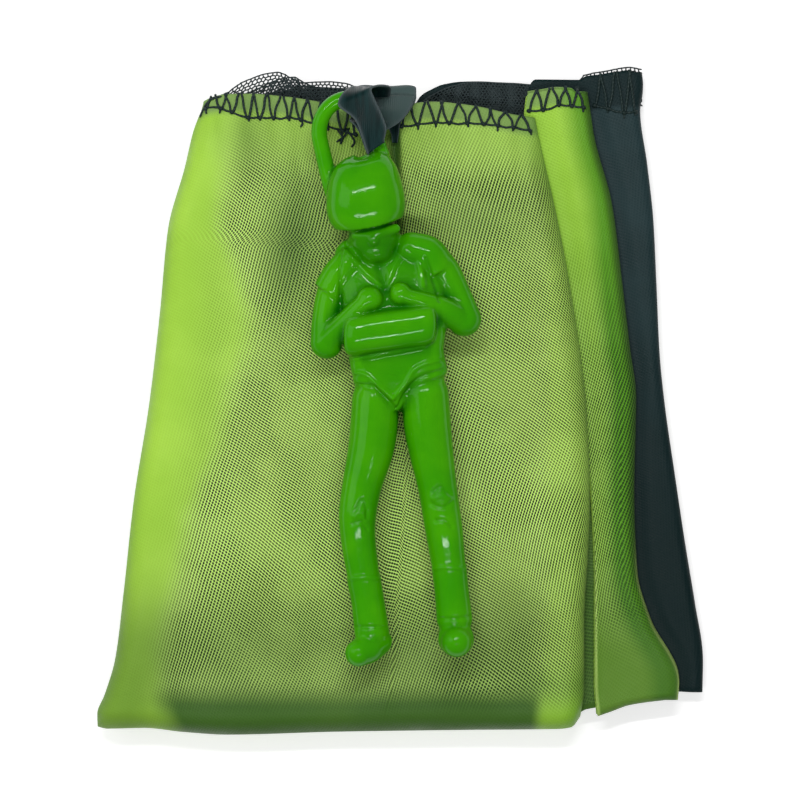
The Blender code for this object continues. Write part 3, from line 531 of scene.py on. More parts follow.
def moulded_plastic():
    """Glossy moulded plastic, a little yellower in soft random patches, with painted shade in its
    hollow places and a faint mould ripple.
    """
    jumper = bpy.context.scene.parachute_jumper
    material, tree, shader = new_material("figure_plastic", Specular_IOR_Level=0.16)
    place = add_node(tree, "ShaderNodeNewGeometry").outputs["Position"]
    in_mm = vector_out(tree, "SCALE", {0: place, "Scale": 1 / MM})
    mottle = use_group(tree, mottle_group(), Place=in_mm, Size=9.0)
    speckle = mottle.outputs["Speckle"]
    base = blend_colours(tree, mottle.outputs["Tone"], jumper.plastic_cool, jumper.plastic_warm)
    # Painted shade in the moulding's hollow places and over the face under the helmet's brim.
    base = lay_colours(tree, base, (stored(tree, "recess"), jumper.plastic_hollow_shade))
    roughness = span(tree, speckle, 0.0, 1.0, 0.07, 0.10)
    finish_surface(tree, shader, base, roughness, speckle, 0.006 * MM)
    return material


# Settings


def length(name, description, default):
    """Setting for a length in metres."""
    return FloatProperty(
        name=name, description=description, default=default, unit="LENGTH", precision=5,
    )


def colour(name, description, default):
    """Setting for a colour."""
    return FloatVectorProperty(
        name=name, description=description, default=default, subtype="COLOR", min=0, max=1,
    )


class ParachuteCloth(PropertyGroup):
    """Sizes and colours of the canopy cloth."""

    bundle_width: length("Bundle width", "Width of the folded bundle", 0.1062)
    bundle_length: length("Bundle length", "Length of the folded bundle, hem to fold", 0.1172)
    cloth_thickness: length("Cloth thickness", "Thickness of the woven cloth", 0.00022)
    fold_radius: length("Fold radius", "Roundness of the front leaf's folds", 0.0036)
    hem_band: length("Hem band", "Height of the sewn hem band", 0.0028)
    thread_pitch: length("Thread pitch", "Distance between neighbouring threads", 0.00050)
    weave_turn: FloatProperty(
        name="Weave turn", description="Turn of the weave on the leaf", default=math.radians(16),
        subtype="ANGLE",
    )
    weave_waver: FloatProperty(
        name="Weave waver", description="How far the threads wander, in millimetres", default=4.5,
    )
    green_light: colour("Green, light", "Cloth lying on bright layers", (0.40, 0.71, 0.060))
    green_mid: colour("Green, middle", "Cloth away from its bright parts", (0.35, 0.65, 0.048))
    green_over_black: colour("Green over black", "Cloth with black under it", (0.47, 0.78, 0.115))
    # Painted shade where the cloth turns down at its folds and edges.
    green_edge_shade: colour("Green edges", "Cloth turning down at its folds", (0.095, 0.31, 0.008))
    # Painted shade: the colour that shaded cloth is painted towards.
    green_shade: colour("Green shade", "Smooth cloth close on black", (0.050, 0.135, 0.014))
    green_hem: colour("Green hem", "Cloth in the sewn hem band", (0.24, 0.40, 0.10))
    green_hole: colour("Green holes", "Gaps between the threads", (0.008, 0.036, 0.002))
    # Crowns of the threads, and also the painted highlight along the pleat's rims.
    green_crest_and_rim_highlight: colour("Green crests", "Crowns of the threads", (0.72, 0.98, 0.27))
    black_low: colour("Black, low", "Darker black cloth", (0.010, 0.026, 0.028))
    black_high: colour("Black, high", "Lighter black cloth", (0.018, 0.040, 0.044))
    black_crest: colour("Black crests", "Crowns of the black threads", (0.034, 0.060, 0.064))
    black_shade: colour("Black shade", "Black cloth away from the light", (0.002, 0.011, 0.011))


class ParachuteTrim(PropertyGroup):
    """Sizes and colours of the net, threads and ribbon."""

    net_cell: length("Net cell", "Width of one cell of the net", 0.00076)
    net_strand: length("Net strand", "Thickness of a strand of the net", 0.00025)
    stitch_pitch: length("Stitch pitch", "Distance between hem stitches", 0.0024)
    thread_radius: length("Thread radius", "Radius of the hem thread", 0.00022)
    ribbon_width: length("Ribbon width", "Width of the satin ribbon", 0.0072)
    ribbon_thickness: length("Ribbon thickness", "Thickness of the satin ribbon", 0.00034)
    ribbon_rib_pitch: length("Rib pitch", "Distance between the ribbon's ribs", 0.00034)
    net_dark: colour("Net, dark", "Shaded side of the net yarn", (0.010, 0.020, 0.022))
    net_light: colour("Net, light", "Lit side of the net yarn", (0.040, 0.060, 0.062))
    thread_dark: colour("Thread, dark", "Shaded plies of the hem thread", (0.004, 0.016, 0.014))
    thread_light: colour("Thread, light", "Lit plies of the hem thread", (0.010, 0.028, 0.027))
    ribbon_dark: colour("Ribbon, dark", "Satin in shade", (0.003, 0.012, 0.012))
    ribbon_light: colour("Ribbon, light", "Satin in light", (0.008, 0.030, 0.030))
    ribbon_lit: colour("Ribbon, lit", "Satin turned to the light", (0.062, 0.098, 0.094))
    # Painted highlight along both edges of the ribbon.
    ribbon_selvedge: colour("Ribbon selvedge", "Woven edge of the satin", (0.085, 0.110, 0.115))


class ParachuteJumper(PropertyGroup):
    """Sizes and colours of the moulded jumper."""

    grain: length("Mould grain", "Finest detail of the moulding", 0.00024)
    height: length("Height", "Height of the jumper below the eye's centre line", 0.0880)
    width: length("Width", "Width that the jumper's shares are measured by", 0.0301)
    depth: length("Depth", "Depth of the jumper from back to front", 0.0135)
    soften_passes: IntProperty(
        name="Soften passes", description="Passes that soften the moulding", default=9,
    )
    plastic_cool: colour("Plastic, cool", "Cooler tone of the plastic", (0.036, 0.310, 0.0003))
    plastic_warm: colour("Plastic, warm", "Warmer tone of the plastic", (0.060, 0.375, 0.0003))
    # Painted shade in the moulding's hollow places and over the face under the helmet's brim.
    plastic_hollow_shade: colour("Plastic, deep", "Plastic in its hollows", (0.004, 0.130, 0.0003))


class ParachuteStage(PropertyGroup):
    """Camera, floor and lamps."""

    lens: FloatProperty(name="Lens", description="Focal length in millimetres", default=400.0)
    view_width: length("View width", "Width of the view over the bundle", 0.140)
    view_height: length("View plane", "Height at which the view is measured", 0.008)
    floor_size: length("Floor size", "Side of the floor", 2.4)
    floor_colour: colour("Floor", "Colour of the floor", (0.80, 0.80, 0.80))
    floor_glow: FloatProperty(
        name="Floor glow", description="Brightness that the floor adds to itself", default=0.48,
    )
    sky: FloatProperty(name="Sky", description="Strength of the even light", default=0.21)
    key_power: FloatProperty(
        name="Far strip", description="Power of the strip past the hem", default=2.1,
    )
    side_power: FloatProperty(name="Near strip", description="Power of the near strip", default=1.3)
    fill_power: FloatProperty(name="Fill lamp", description="Power of the left lamp", default=0.9)


# Canopy cloth

FRONT_EDGES = (FRONT_LEFT, FRONT_RIGHT)
PLEAT_EDGES = (PLEAT_LEFT, PLEAT_RIGHT)
GAP_EDGES = (FRONT_RIGHT, PLEAT_LEFT)
BLACK_EDGES = (BLACK_LEFT, BLACK_RIGHT)

pleat_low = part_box("canopy_green_pleat")[0].z
front_low, front_high = [corner.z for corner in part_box("canopy_front_leaf")]

# Heights of the layers above the table, in metres.
TABLE_GAP = 0.0002
BACK_TUCK_Z = 0.00158
RETURN_Z = pleat_low + 0.00005
SIDE_EDGE_Z = 0.0047
BOTTOM_EDGE_Z = 0.0044
RIGHT_RETURN_Z = 0.0060
RIGHT_EDGE_Z = 0.0066
VALLEY_Z = 0.0047
PLEAT_UNDER_Z = 0.0051
PLEAT_TOP_Z = 0.0056
PLEAT_EDGE_Z = 0.0049
HEM_Z = 0.0071
BLACK_TOP_Z = 0.0036
BLACK_EDGE_Z = 0.0030
BLACK_RETURN_Z = 0.0023
INNER_Z = 0.0025

# How far cloth crowns, rolls down at its edges, and is turned or tucked under, in metres.
PLEAT_CROWN, BLACK_CROWN = 0.0010, 0.0006
PLEAT_ROLL, PLEAT_END_ROLL = 0.0022, 0.0012
BLACK_ROLL, BLACK_END_ROLL = 0.0016, 0.0012
UNDER_ROLL, BACK_ROLL = 0.0008, 0.0008
END_ROLL, SIDE_END_ROLL = 0.0010, 0.0030
HEM_FOLD, HEM_RETURN = 0.00034, 0.0024
SIDE_RETURN, PLEAT_RETURN = 0.012, 0.0085
RIGHT_TUCK, VALLEY_TUCK, BACK_TUCK = 0.009, 0.005, 0.011

# Ends of the valley beside the pleat, as shares of the bundle's length.
VALLEY_HEM, VALLEY_BOTTOM = 0.425, -0.4685

MAIN_ROWS, ROLL_ROWS, BACK_ROWS = 150, 12, 60
BACK_TURN_COLUMNS = 8

# Places of the strips that show, in the order of the green sheet.
FRONT_STRIP, VALLEY_STRIP, PLEAT_STRIP, PLEAT_RETURN_STRIP = 1, 4, 8, 9


def in_hem_band(below, cloth, before=0.0003, after=0.0002):
    """How far places lie within the sewn band, from their distance below the hem."""
    return 1 - ease(below, cloth.hem_band - before, cloth.hem_band + after)


def front_crown(x, y, hem_y, cloth):
    """Height of the front leaf's top away from its edges: thin at the hem, puffed and creased."""
    width, run = cloth.bundle_width, cloth.bundle_length
    below = np.maximum(hem_y - y, 0)
    swell = ease(below, 0, 0.013)
    rise = front_high - 0.00015 - HEM_Z
    crown = HEM_Z + rise * swell
    for (x0, y0), (x1, y1), depth, left, right in FRONT_FOLDS:
        first = np.array([x0 * width, y0 * run])
        way = np.array([x1 * width, y1 * run]) - first
        at = np.clip(((x - first[0]) * way[0] + (y - first[1]) * way[1]) / (way @ way), 0, 1)
        dx = x - first[0] - at * way[0]
        dy = y - first[1] - at * way[1]
        reach = np.hypot(dx, dy) / np.where(dx < 0, left * width, right * width)
        fade = np.maximum(swell, 0.35)
        crown = crown - depth * (front_high - front_low) * fade * np.exp(-reach * reach)
    crown = crown - 0.00045 * swell * (0.5 + 0.5 * waves(x, y, 0.034, 11))
    pucker = np.sin(2 * math.pi * x / 0.0043 + 2.2 * waves(x, y, 0.03, 5))
    crown = crown + 0.00022 * pucker * (1 - ease(below, 0.003, 0.016))
    return crown + 0.00022 * in_hem_band(below, cloth)


class Strip:
    """Columns of a sheet that run between two edge tables, with their ends and heights.

    Its bend is what its height function needs to know of each column.
    """

    def __init__(self, edges, shares, offsets, hem, bottom, roll, height, bend=None, shown=False):
        shape = np.broadcast(shares, offsets).shape
        self.shares, self.offsets, self.hem, self.bottom, self.roll = (
            np.broadcast_to(value, shape).astype(float)
            for value in (shares, offsets, hem, bottom, roll)
        )
        self.edges, self.height, self.bend, self.shown = edges, height, bend, shown
        self.count = shape[0]

    def down(self, y):
        """Share of the way from the hem to the bottom."""
        return (self.hem - y) / (self.hem - self.bottom)


def row_lines(rolls, hem, bottom):
    """Positions along the cloth of the rows of one strip, and how far each has rolled down."""
    main = np.linspace(0, 1, MAIN_ROWS)[:, None]
    turn = np.linspace(0, math.pi / 2, ROLL_ROWS + 1)[1:, None]
    straight = hem + (bottom + rolls - hem) * main
    rolled = bottom + rolls * (1 - np.sin(turn))
    y = np.concatenate([straight, rolled])
    rim = np.concatenate([np.ones_like(straight), np.cos(turn) * np.ones_like(rolled)])
    return y, rim


def lay_strip(strip, cloth):
    """Places of the rows and columns of one strip of the sheet."""
    y, rim = row_lines(strip.roll, strip.hem, strip.bottom)
    down = strip.down(y)
    left = along(strip.edges[0], down) * cloth.bundle_width
    right = along(strip.edges[1], down) * cloth.bundle_width
    x = left * (1 - strip.shares) + right * strip.shares + strip.offsets
    z = strip.height(x, y, rim, strip)
    return np.stack([x, y, z], axis=2)


def end_y(cloth, table, share, tuck=0.0):
    """Place of a hem or bottom edge along the bundle, less what is tucked in."""
    return along(table, share) * cloth.bundle_length - tuck


def rim_z(level, rim):
    """Height of an edge that sinks to the bottom edge's as its strip rolls down."""
    return BOTTOM_EDGE_Z + (level - BOTTOM_EDGE_Z) * rim


def level_z(x, y, rim, strip):
    """Heights of hidden cloth: one level for each column."""
    return np.broadcast_to(strip.bend, x.shape)


def half_turn(edges, share, levels, at, bulge, hem, bottom):
    """Half round turn from one layer of the cloth to the next."""
    angle = np.linspace(0, math.pi, 8)[1:-1]
    middle, half = (levels[0] + levels[1]) / 2, (levels[0] - levels[1]) / 2
    return Strip(
        edges, share, at + bulge * np.sin(angle), hem, bottom, END_ROLL, level_z,
        middle + half * np.cos(angle),
    )


def flat_layer(edges, share, offsets, level, hem, bottom):
    """Hidden layer that is almost flat."""
    return Strip(
        edges, share, offsets, hem, bottom, END_ROLL,
        lambda x, y, rim, strip: level + 0.00005 * waves(x, y, 0.02, 3),
    )


def rolled_columns(count, roll):
    """Columns of a leaf that rolls down at its right: shares, offsets and how far each is up."""
    turn = np.linspace(0, math.pi / 2, 9)[1:]
    steps = np.linspace(0, 1, count)
    shares = np.concatenate([steps, np.ones(8)])
    offsets = -roll * np.concatenate([steps, 1 - np.sin(turn)])
    return shares, offsets, np.concatenate([np.ones(count), np.cos(turn)])


def front_strips(cloth):
    """Start of the green sheet: the cloth that returns under the front leaf, round the leaf."""
    radius = cloth.fold_radius
    mean_width = (along(FRONT_RIGHT, 0.5) - along(FRONT_LEFT, 0.5)) * cloth.bundle_width

    def front_z(x, y, rim, strip):
        side = SIDE_EDGE_Z + (RIGHT_EDGE_Z - SIDE_EDGE_Z) * ease(strip.shares, 0.7, 1.0)
        low = rim_z(side, rim)
        crown = front_crown(x, y, strip.hem, cloth)
        return low + (crown - low) * strip.bend * rim

    def left_z(x, y, rim, strip):
        edge = rim_z(SIDE_EDGE_Z, rim)
        return edge - (edge - RETURN_Z) * strip.bend

    def right_z(x, y, rim, strip):
        edge = rim_z(RIGHT_EDGE_Z, rim)
        return edge - (edge - rim_z(RIGHT_RETURN_Z, rim)) * strip.bend

    turn = np.linspace(math.pi / 2, 0, 11)
    inner = np.linspace(0, 1, 118)[1:-1]
    offsets = np.concatenate([
        radius * (1 - np.sin(turn)), radius * (1 - 2 * inner), -radius * (1 - np.sin(turn[::-1])),
    ])
    shares = np.concatenate([np.zeros(11), inner, np.ones(11)])
    across = np.clip(shares + offsets / mean_width, 0, 1)
    front = Strip(
        FRONT_EDGES, shares, offsets, end_y(cloth, FRONT_HEM, across, HEM_FOLD),
        end_y(cloth, FRONT_BOTTOM, across), radius, front_z,
        np.concatenate([np.cos(turn), np.ones(116), np.cos(turn[::-1])]), shown=True,
    )

    turn = np.linspace(math.pi / 2, 0, 7)[:-1]
    offsets = np.concatenate([
        np.linspace(SIDE_RETURN, UNDER_ROLL, 11)[:-1], UNDER_ROLL * (1 - np.cos(turn)),
    ])
    left = Strip(
        FRONT_EDGES, 0.0, offsets, end_y(cloth, FRONT_HEM, 0.0, 0.0012),
        end_y(cloth, FRONT_BOTTOM, 0.0) + 0.0006 * ease(offsets, 0, 0.002), SIDE_END_ROLL, left_z,
        np.concatenate([np.ones(10), np.sin(turn)]),
    )

    turn = np.linspace(0, math.pi / 2, 7)[1:]
    offsets = -np.concatenate([
        UNDER_ROLL * (1 - np.cos(turn)), np.linspace(UNDER_ROLL, RIGHT_TUCK, 11)[1:],
    ])
    right = Strip(
        FRONT_EDGES, 1.0, offsets, end_y(cloth, FRONT_HEM, 1.0, 0.0006),
        end_y(cloth, FRONT_BOTTOM, 1.0) + 0.0006 * ease(-offsets, 0, 0.002), SIDE_END_ROLL,
        right_z, np.concatenate([np.sin(turn), np.ones(10)]),
    )
    return [left, front, right]


def pleat_strips(cloth):
    """Rest of the green sheet: down into the valley, under the pleat, round it and back."""

    def pleat_z(x, y, rim, strip):
        down = strip.down(y)
        outside = x - along(FRONT_RIGHT, down) * cloth.bundle_width
        room = along(PLEAT_RIGHT, down) * cloth.bundle_width - x
        rise = ease(outside, 0.0004, 0.0040)
        crown = PLEAT_TOP_Z + PLEAT_CROWN * rise
        crown = crown + 0.00015 * waves(x, y, 0.016, 8) * rise
        crown = crown + 0.0005 * ease(room, 0.012, 0.004) * ease(down, 0.70, 0.95)
        band = in_hem_band(strip.hem - y, cloth)
        crown = crown + 0.00020 * band * ease(outside, -0.001, 0.001)
        return PLEAT_EDGE_Z + (crown - PLEAT_EDGE_Z) * strip.bend * (0.25 + 0.75 * rim)

    valley_hem = VALLEY_HEM * cloth.bundle_length
    valley_bottom = VALLEY_BOTTOM * cloth.bundle_length
    slide = np.linspace(0, 1, 20)
    tucked = end_y(cloth, PLEAT_BOTTOM, ease(slide, 0.45, 1.0) * 0.3)
    tucked = tucked + 0.0009 * ease(slide, 0.45, 0.6)
    home = np.linspace(1, 0, 9)
    hidden = [
        half_turn(
            GAP_EDGES, 0.0, (RIGHT_RETURN_Z, VALLEY_Z), -RIGHT_TUCK, -0.0006, valley_hem,
            valley_bottom,
        ),
        flat_layer(
            GAP_EDGES, slide, -RIGHT_TUCK + (RIGHT_TUCK + VALLEY_TUCK) * slide, VALLEY_Z,
            valley_hem, np.where(slide < 0.45, valley_bottom, tucked),
        ),
        half_turn(
            PLEAT_EDGES, 0.0, (VALLEY_Z, PLEAT_UNDER_Z), VALLEY_TUCK, 0.0002, valley_hem + 0.001,
            end_y(cloth, PLEAT_BOTTOM, 0.3) + 0.0008,
        ),
        flat_layer(
            PLEAT_EDGES, 0.0, VALLEY_TUCK * home, PLEAT_UNDER_Z,
            end_y(cloth, PLEAT_HEM, 0.3 * home, 0.0012),
            end_y(cloth, PLEAT_BOTTOM, 0.3 * home) + 0.0006,
        ),
        half_turn(
            PLEAT_EDGES, 0.0, (PLEAT_UNDER_Z, PLEAT_TOP_Z), 0.0, -0.00025,
            end_y(cloth, PLEAT_HEM, 0.0, 0.0008), end_y(cloth, PLEAT_BOTTOM, 0.0) + 0.0003,
        ),
    ]
    shares, offsets, bend = rolled_columns(46, PLEAT_ROLL)
    pleat = Strip(
        PLEAT_EDGES, shares, offsets, end_y(cloth, PLEAT_HEM, shares, HEM_FOLD),
        end_y(cloth, PLEAT_BOTTOM, shares), PLEAT_END_ROLL, pleat_z, bend, shown=True,
    )
    turn = np.linspace(0, math.pi / 2, 6)[1:]
    fall = np.concatenate([np.sin(turn), np.ones(10)])
    pleat_return = Strip(
        PLEAT_EDGES, 1.0,
        -np.concatenate([0.0005 * (1 - np.cos(turn)), np.linspace(0.0005, PLEAT_RETURN, 11)[1:]]),
        end_y(cloth, PLEAT_HEM, 1.0, 0.0012), end_y(cloth, PLEAT_BOTTOM, 1.0) + 0.0006, END_ROLL,
        level_z, PLEAT_EDGE_Z - (PLEAT_EDGE_Z - RETURN_Z - 0.0001) * fall,
    )
    return [*hidden, pleat, pleat_return]


def hem_turn(points, strips):
    """Rows that turn the shown hems under: from inside the hem, round its edge to its top."""
    places = [(-HEM_RETURN, -2 * HEM_FOLD), (-HEM_RETURN / 2, -2 * HEM_FOLD)]
    places += [
        (HEM_FOLD * math.cos(angle), HEM_FOLD * (math.sin(angle) - 1))
        for angle in np.linspace(-math.pi / 2, math.pi / 2, 5)[:-1]
    ]
    rows = np.array([points[0] + (0, out, up) for out, up in places])
    shown = np.concatenate([np.full(strip.count, strip.shown) for strip in strips])
    return rows, np.tile(shown, (len(rows), 1))


def back_rows(points, strips, cloth):
    """Rows past the bottom fold: round under it, then the back leaf up to its hem."""
    width, run, radius = cloth.bundle_width, cloth.bundle_length, cloth.fold_radius
    front = strips[FRONT_STRIP]
    total = points.shape[1]
    first = strips[0].count
    last = first + front.count
    middle, right = np.arange(first, last), np.arange(last, total)
    x_end, fold_y = points[-1, middle, 0], points[-1, middle, 1]
    share = (x_end - x_end[0]) / (x_end[-1] - x_end[0])
    half = (BACK_TUCK_Z - TABLE_GAP) / 2
    back_z = TABLE_GAP + half * (1 - np.where(front.shares < 0.5, front.bend, 1.0))
    back_hem = along(BACK_HEM, share * 0.75) * run
    lowest = fold_y + radius

    def back_x(down):
        left = along(BACK_LEFT, down) * width
        split = along(BACK_SPLIT, down) * width
        return left + (split - left) * share

    rows = []
    for turn in np.linspace(0, math.pi / 2, ROLL_ROWS + 1)[1:]:
        row = np.full((total, 3), np.nan)
        row[middle, 0] = x_end + (back_x(1.0) - x_end) * math.sin(turn) ** 2
        row[middle, 1] = fold_y + radius * (1 - math.cos(turn))
        row[middle, 2] = BOTTOM_EDGE_Z - (BOTTOM_EDGE_Z - back_z) * math.sin(turn)
        rows.append(row)

    under = np.linspace(1, 0, 7)[:-1] * math.pi / 2
    tuck = np.concatenate([
        np.linspace(BACK_TUCK, BACK_ROLL, 11)[:-1], BACK_ROLL * (1 - np.cos(under)),
    ])
    lift = np.concatenate([np.ones(10), np.sin(under)])
    place = np.arange(1, len(right) + 1)
    spread = max(2, int(len(right) * 0.55))
    over = np.clip(place / spread, 0, 1)
    angle = np.clip((place - spread) / BACK_TURN_COLUMNS, 0, 1) * math.pi
    turned = spread + BACK_TURN_COLUMNS
    home = np.clip((place - turned) / (len(right) - turned), 0, 1)
    low_end = lowest[-1] + (along(BACK_BOTTOM, over) - BACK_BOTTOM[0][1]) * run
    high_end = along(BACK_HEM, 0.75 + 0.25 * over) * run
    for rise in np.arange(1, BACK_ROWS + 1) / BACK_ROWS:
        left, split, far = (
            along(table, 1 - rise) * width for table in (BACK_LEFT, BACK_SPLIT, BACK_RIGHT)
        )
        row = np.empty((total, 3))
        row[:first, 0] = left + tuck
        row[:first, 1] = lowest[0] + (back_hem[0] - lowest[0]) * rise
        row[:first, 2] = TABLE_GAP + half + half * lift
        row[middle, 0] = back_x(1 - rise)
        row[middle, 1] = lowest + (back_hem - lowest) * rise
        row[middle, 2] = back_z
        flat_x = split + (far - BACK_ROLL - split) * over
        row[right, 0] = flat_x + BACK_ROLL * np.sin(angle) - BACK_TUCK * home
        row[right, 1] = low_end + (high_end - low_end) * rise
        row[right, 2] = TABLE_GAP + half * (1 - np.cos(angle))
        rows.append(row)
    rows = np.array(rows)
    return rows, ~np.isnan(rows[..., 0])


def green_layers(points, hem_rows, strips, cloth):
    """What shows on the green cloth: black under it, open weave, shade, folded edges and hem."""
    width, run = cloth.bundle_width, cloth.bundle_length
    x, y = points[..., 0], points[..., 1]
    hem = np.concatenate([strip.hem for strip in strips])
    bottom = np.concatenate([strip.bottom for strip in strips])
    down = np.clip((hem - y) / (hem - bottom), 0, 1)
    owner = np.concatenate([np.full(s.count, i) for i, s in enumerate(strips)])
    shown = np.arange(len(points))[:, None] < hem_rows + MAIN_ROWS + ROLL_ROWS
    front, valley = shown & (owner == FRONT_STRIP), shown & (owner == VALLEY_STRIP)
    pleat_return = shown & (owner == PLEAT_RETURN_STRIP)
    pleat = shown & (owner == PLEAT_STRIP) | pleat_return
    edge_left = x - along(FRONT_LEFT, down) * width
    edge_right = along(FRONT_RIGHT, down) * width - x
    pleat_left = x - along(PLEAT_LEFT, down) * width
    pleat_room = along(PLEAT_RIGHT, down) * width - x

    # Black cloth under the front leaf
    drift = 0.0013 * waves(x, y, 0.03, 21)
    left = along(INNER_LEFT, down) * width + drift
    right = along(INNER_RIGHT, down) * width
    over_black = ease(x, left - 0.0012, left + 0.0046)
    over_black = over_black * (1 - ease(x, right - 0.0008, right + 0.0018))
    bottom_reach = ease(-y, 0.0490, 0.0540)
    patches = 0.5 + 0.5 * waves(x, y, 0.032, 17)
    under = np.where(front, over_black * (0.45 + 0.55 * patches), 0.0)
    under = np.where(valley, 0.5, under)

    # Open weave
    smooth_low = 1 - ease(-y, 0.0500, 0.0555)
    smooth_left = 0.16 + 0.84 * ease(edge_left, 0.0035, 0.0125)
    open_front = (0.34 + 0.66 * over_black) * smooth_left * (0.10 + 0.90 * smooth_low)
    open_front = open_front + 0.55 * ease(x, 0.008, 0.022) * smooth_low * (1 - over_black)
    open_pleat = 0.10 + 0.75 * ease(-y, -0.034, 0.0) * (1 - ease(-y, 0.034, 0.048))
    open_front = open_front * (0.30 + 0.70 * ease(hem - y, 0.0035, 0.0150))
    openness = np.where(front, open_front, np.where(pleat, open_pleat, 0.35))
    openness = np.where(valley, 0.55, openness)
    openness = np.where(pleat_return, 0.2, openness)

    # Shade
    patch_shade = np.zeros(x.shape)
    for centre_x, centre_y, reach_x, reach_y, depth in SHADE_PATCHES:
        far = np.hypot((x / width - centre_x) / reach_x, (y / run - centre_y) / reach_y)
        patch_shade = patch_shade + depth * np.exp(-far * far)
    low = 0.40 * ease(-y, 0.028, 0.044)
    low = low + 0.20 * ease(-y, 0.012, 0.040) * (1 - ease(edge_left, 0.0050, 0.0130))
    pinch = ease(x, -0.0042, -0.0004) * (1 - ease(x, -0.0002, 0.0006))
    pinch = pinch * ease(y, 0.0255, 0.0350) * (1 - ease(y, 0.0470, 0.0500))
    shade = over_black * (0.58 * bottom_reach + 0.10 * (1 - patches))
    shade = shade + patch_shade + low * (1 - 0.6 * ease(x, 0.021, 0.027)) + 0.85 * pinch
    turned = 0.9 * (1 - ease(pleat_room, 0.0004, 0.0018)) * (1 - ease(-y, 0.030, 0.037))
    shade_pleat = np.maximum(0.72 * ease(-y, 0.022, 0.048), turned)
    shade = np.where(front, shade, np.where(pleat, shade_pleat, 0.25))
    shade = np.where(valley, 0.72 + 0.2 * ease(-y, 0.018, 0.032), shade)

    # Painted shade on folded edges, a painted highlight along the pleat's rims, and the sewn band
    right_side = 0.06 * (1 - ease(edge_right, 0.0030, 0.0095)) * ease(-y, -0.030, -0.002)
    edge = np.where(front, right_side + 0.26 * (1 - ease(edge_right, 0.0002, 0.0042)), 0.0)
    corner = 0.30 * ease(x, 0.019, 0.024) * ease(-y, 0.0455, 0.0500)
    edge = np.where(front, edge + corner + 0.25 * (1 - ease(edge_left, 0.0, 0.0016)), edge)
    pleat_side = 0.12 + 0.32 * ease(-y, -0.050, -0.010)
    pleat_side = pleat_side + 0.80 * (1 - ease(pleat_room, 0.0012, 0.0066))
    edge = np.where(pleat, pleat_side, edge)
    edge = np.where(valley, 0.45, edge)
    # Painted highlight along the pleat's rims.
    rim_line = 1 - ease(np.minimum(pleat_room, pleat_left), 0.00010, 0.00045)
    rim_highlight = np.where(pleat, 0.55 * rim_line * ease(-y, 0.022, 0.034), 0.0)
    band = np.where(front | pleat, in_hem_band(hem - y, cloth, 0.0004, 0.0004), 0.0)
    layers = {
        "underlay": under, "openness": openness * (1 - 0.85 * band), "shade": shade,
        "fold_edge_shade": edge, "rim_highlight": rim_highlight, "hem_band": band,
    }
    return {name: np.clip(values, 0, 1) for name, values in layers.items()}


def thicken(piece, thickness):
    """Gives a sheet its thickness, half to each side."""
    solid = piece.modifiers.new("cloth", "SOLIDIFY")
    solid.thickness = thickness
    solid.offset = 0.0
    solid.use_even_offset = False


def build_green_canopy():
    """Green sheet: front leaf, pleat and, round the bottom fold, the back leaf."""
    cloth = bpy.context.scene.parachute_cloth
    strips = front_strips(cloth) + pleat_strips(cloth)
    top = np.concatenate([lay_strip(strip, cloth) for strip in strips], axis=1)
    hem_points, hem_valid = hem_turn(top, strips)
    under_points, under_valid = back_rows(top, strips, cloth)
    points = np.concatenate([hem_points, top, under_points])
    valid = np.concatenate([hem_valid, np.ones(top.shape[:2], bool), under_valid])
    filled = np.where(valid[..., None], points, 0.0)
    layers = green_layers(filled, len(hem_points), strips, cloth)
    mesh = grid_mesh("green_canopy", filled, valid, **layers)
    piece = link_piece("green_canopy", mesh, green_cloth())
    thicken(piece, cloth.cloth_thickness)
    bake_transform(piece)
    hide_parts("canopy_front_leaf", "canopy_green_pleat", "canopy_back_leaf")


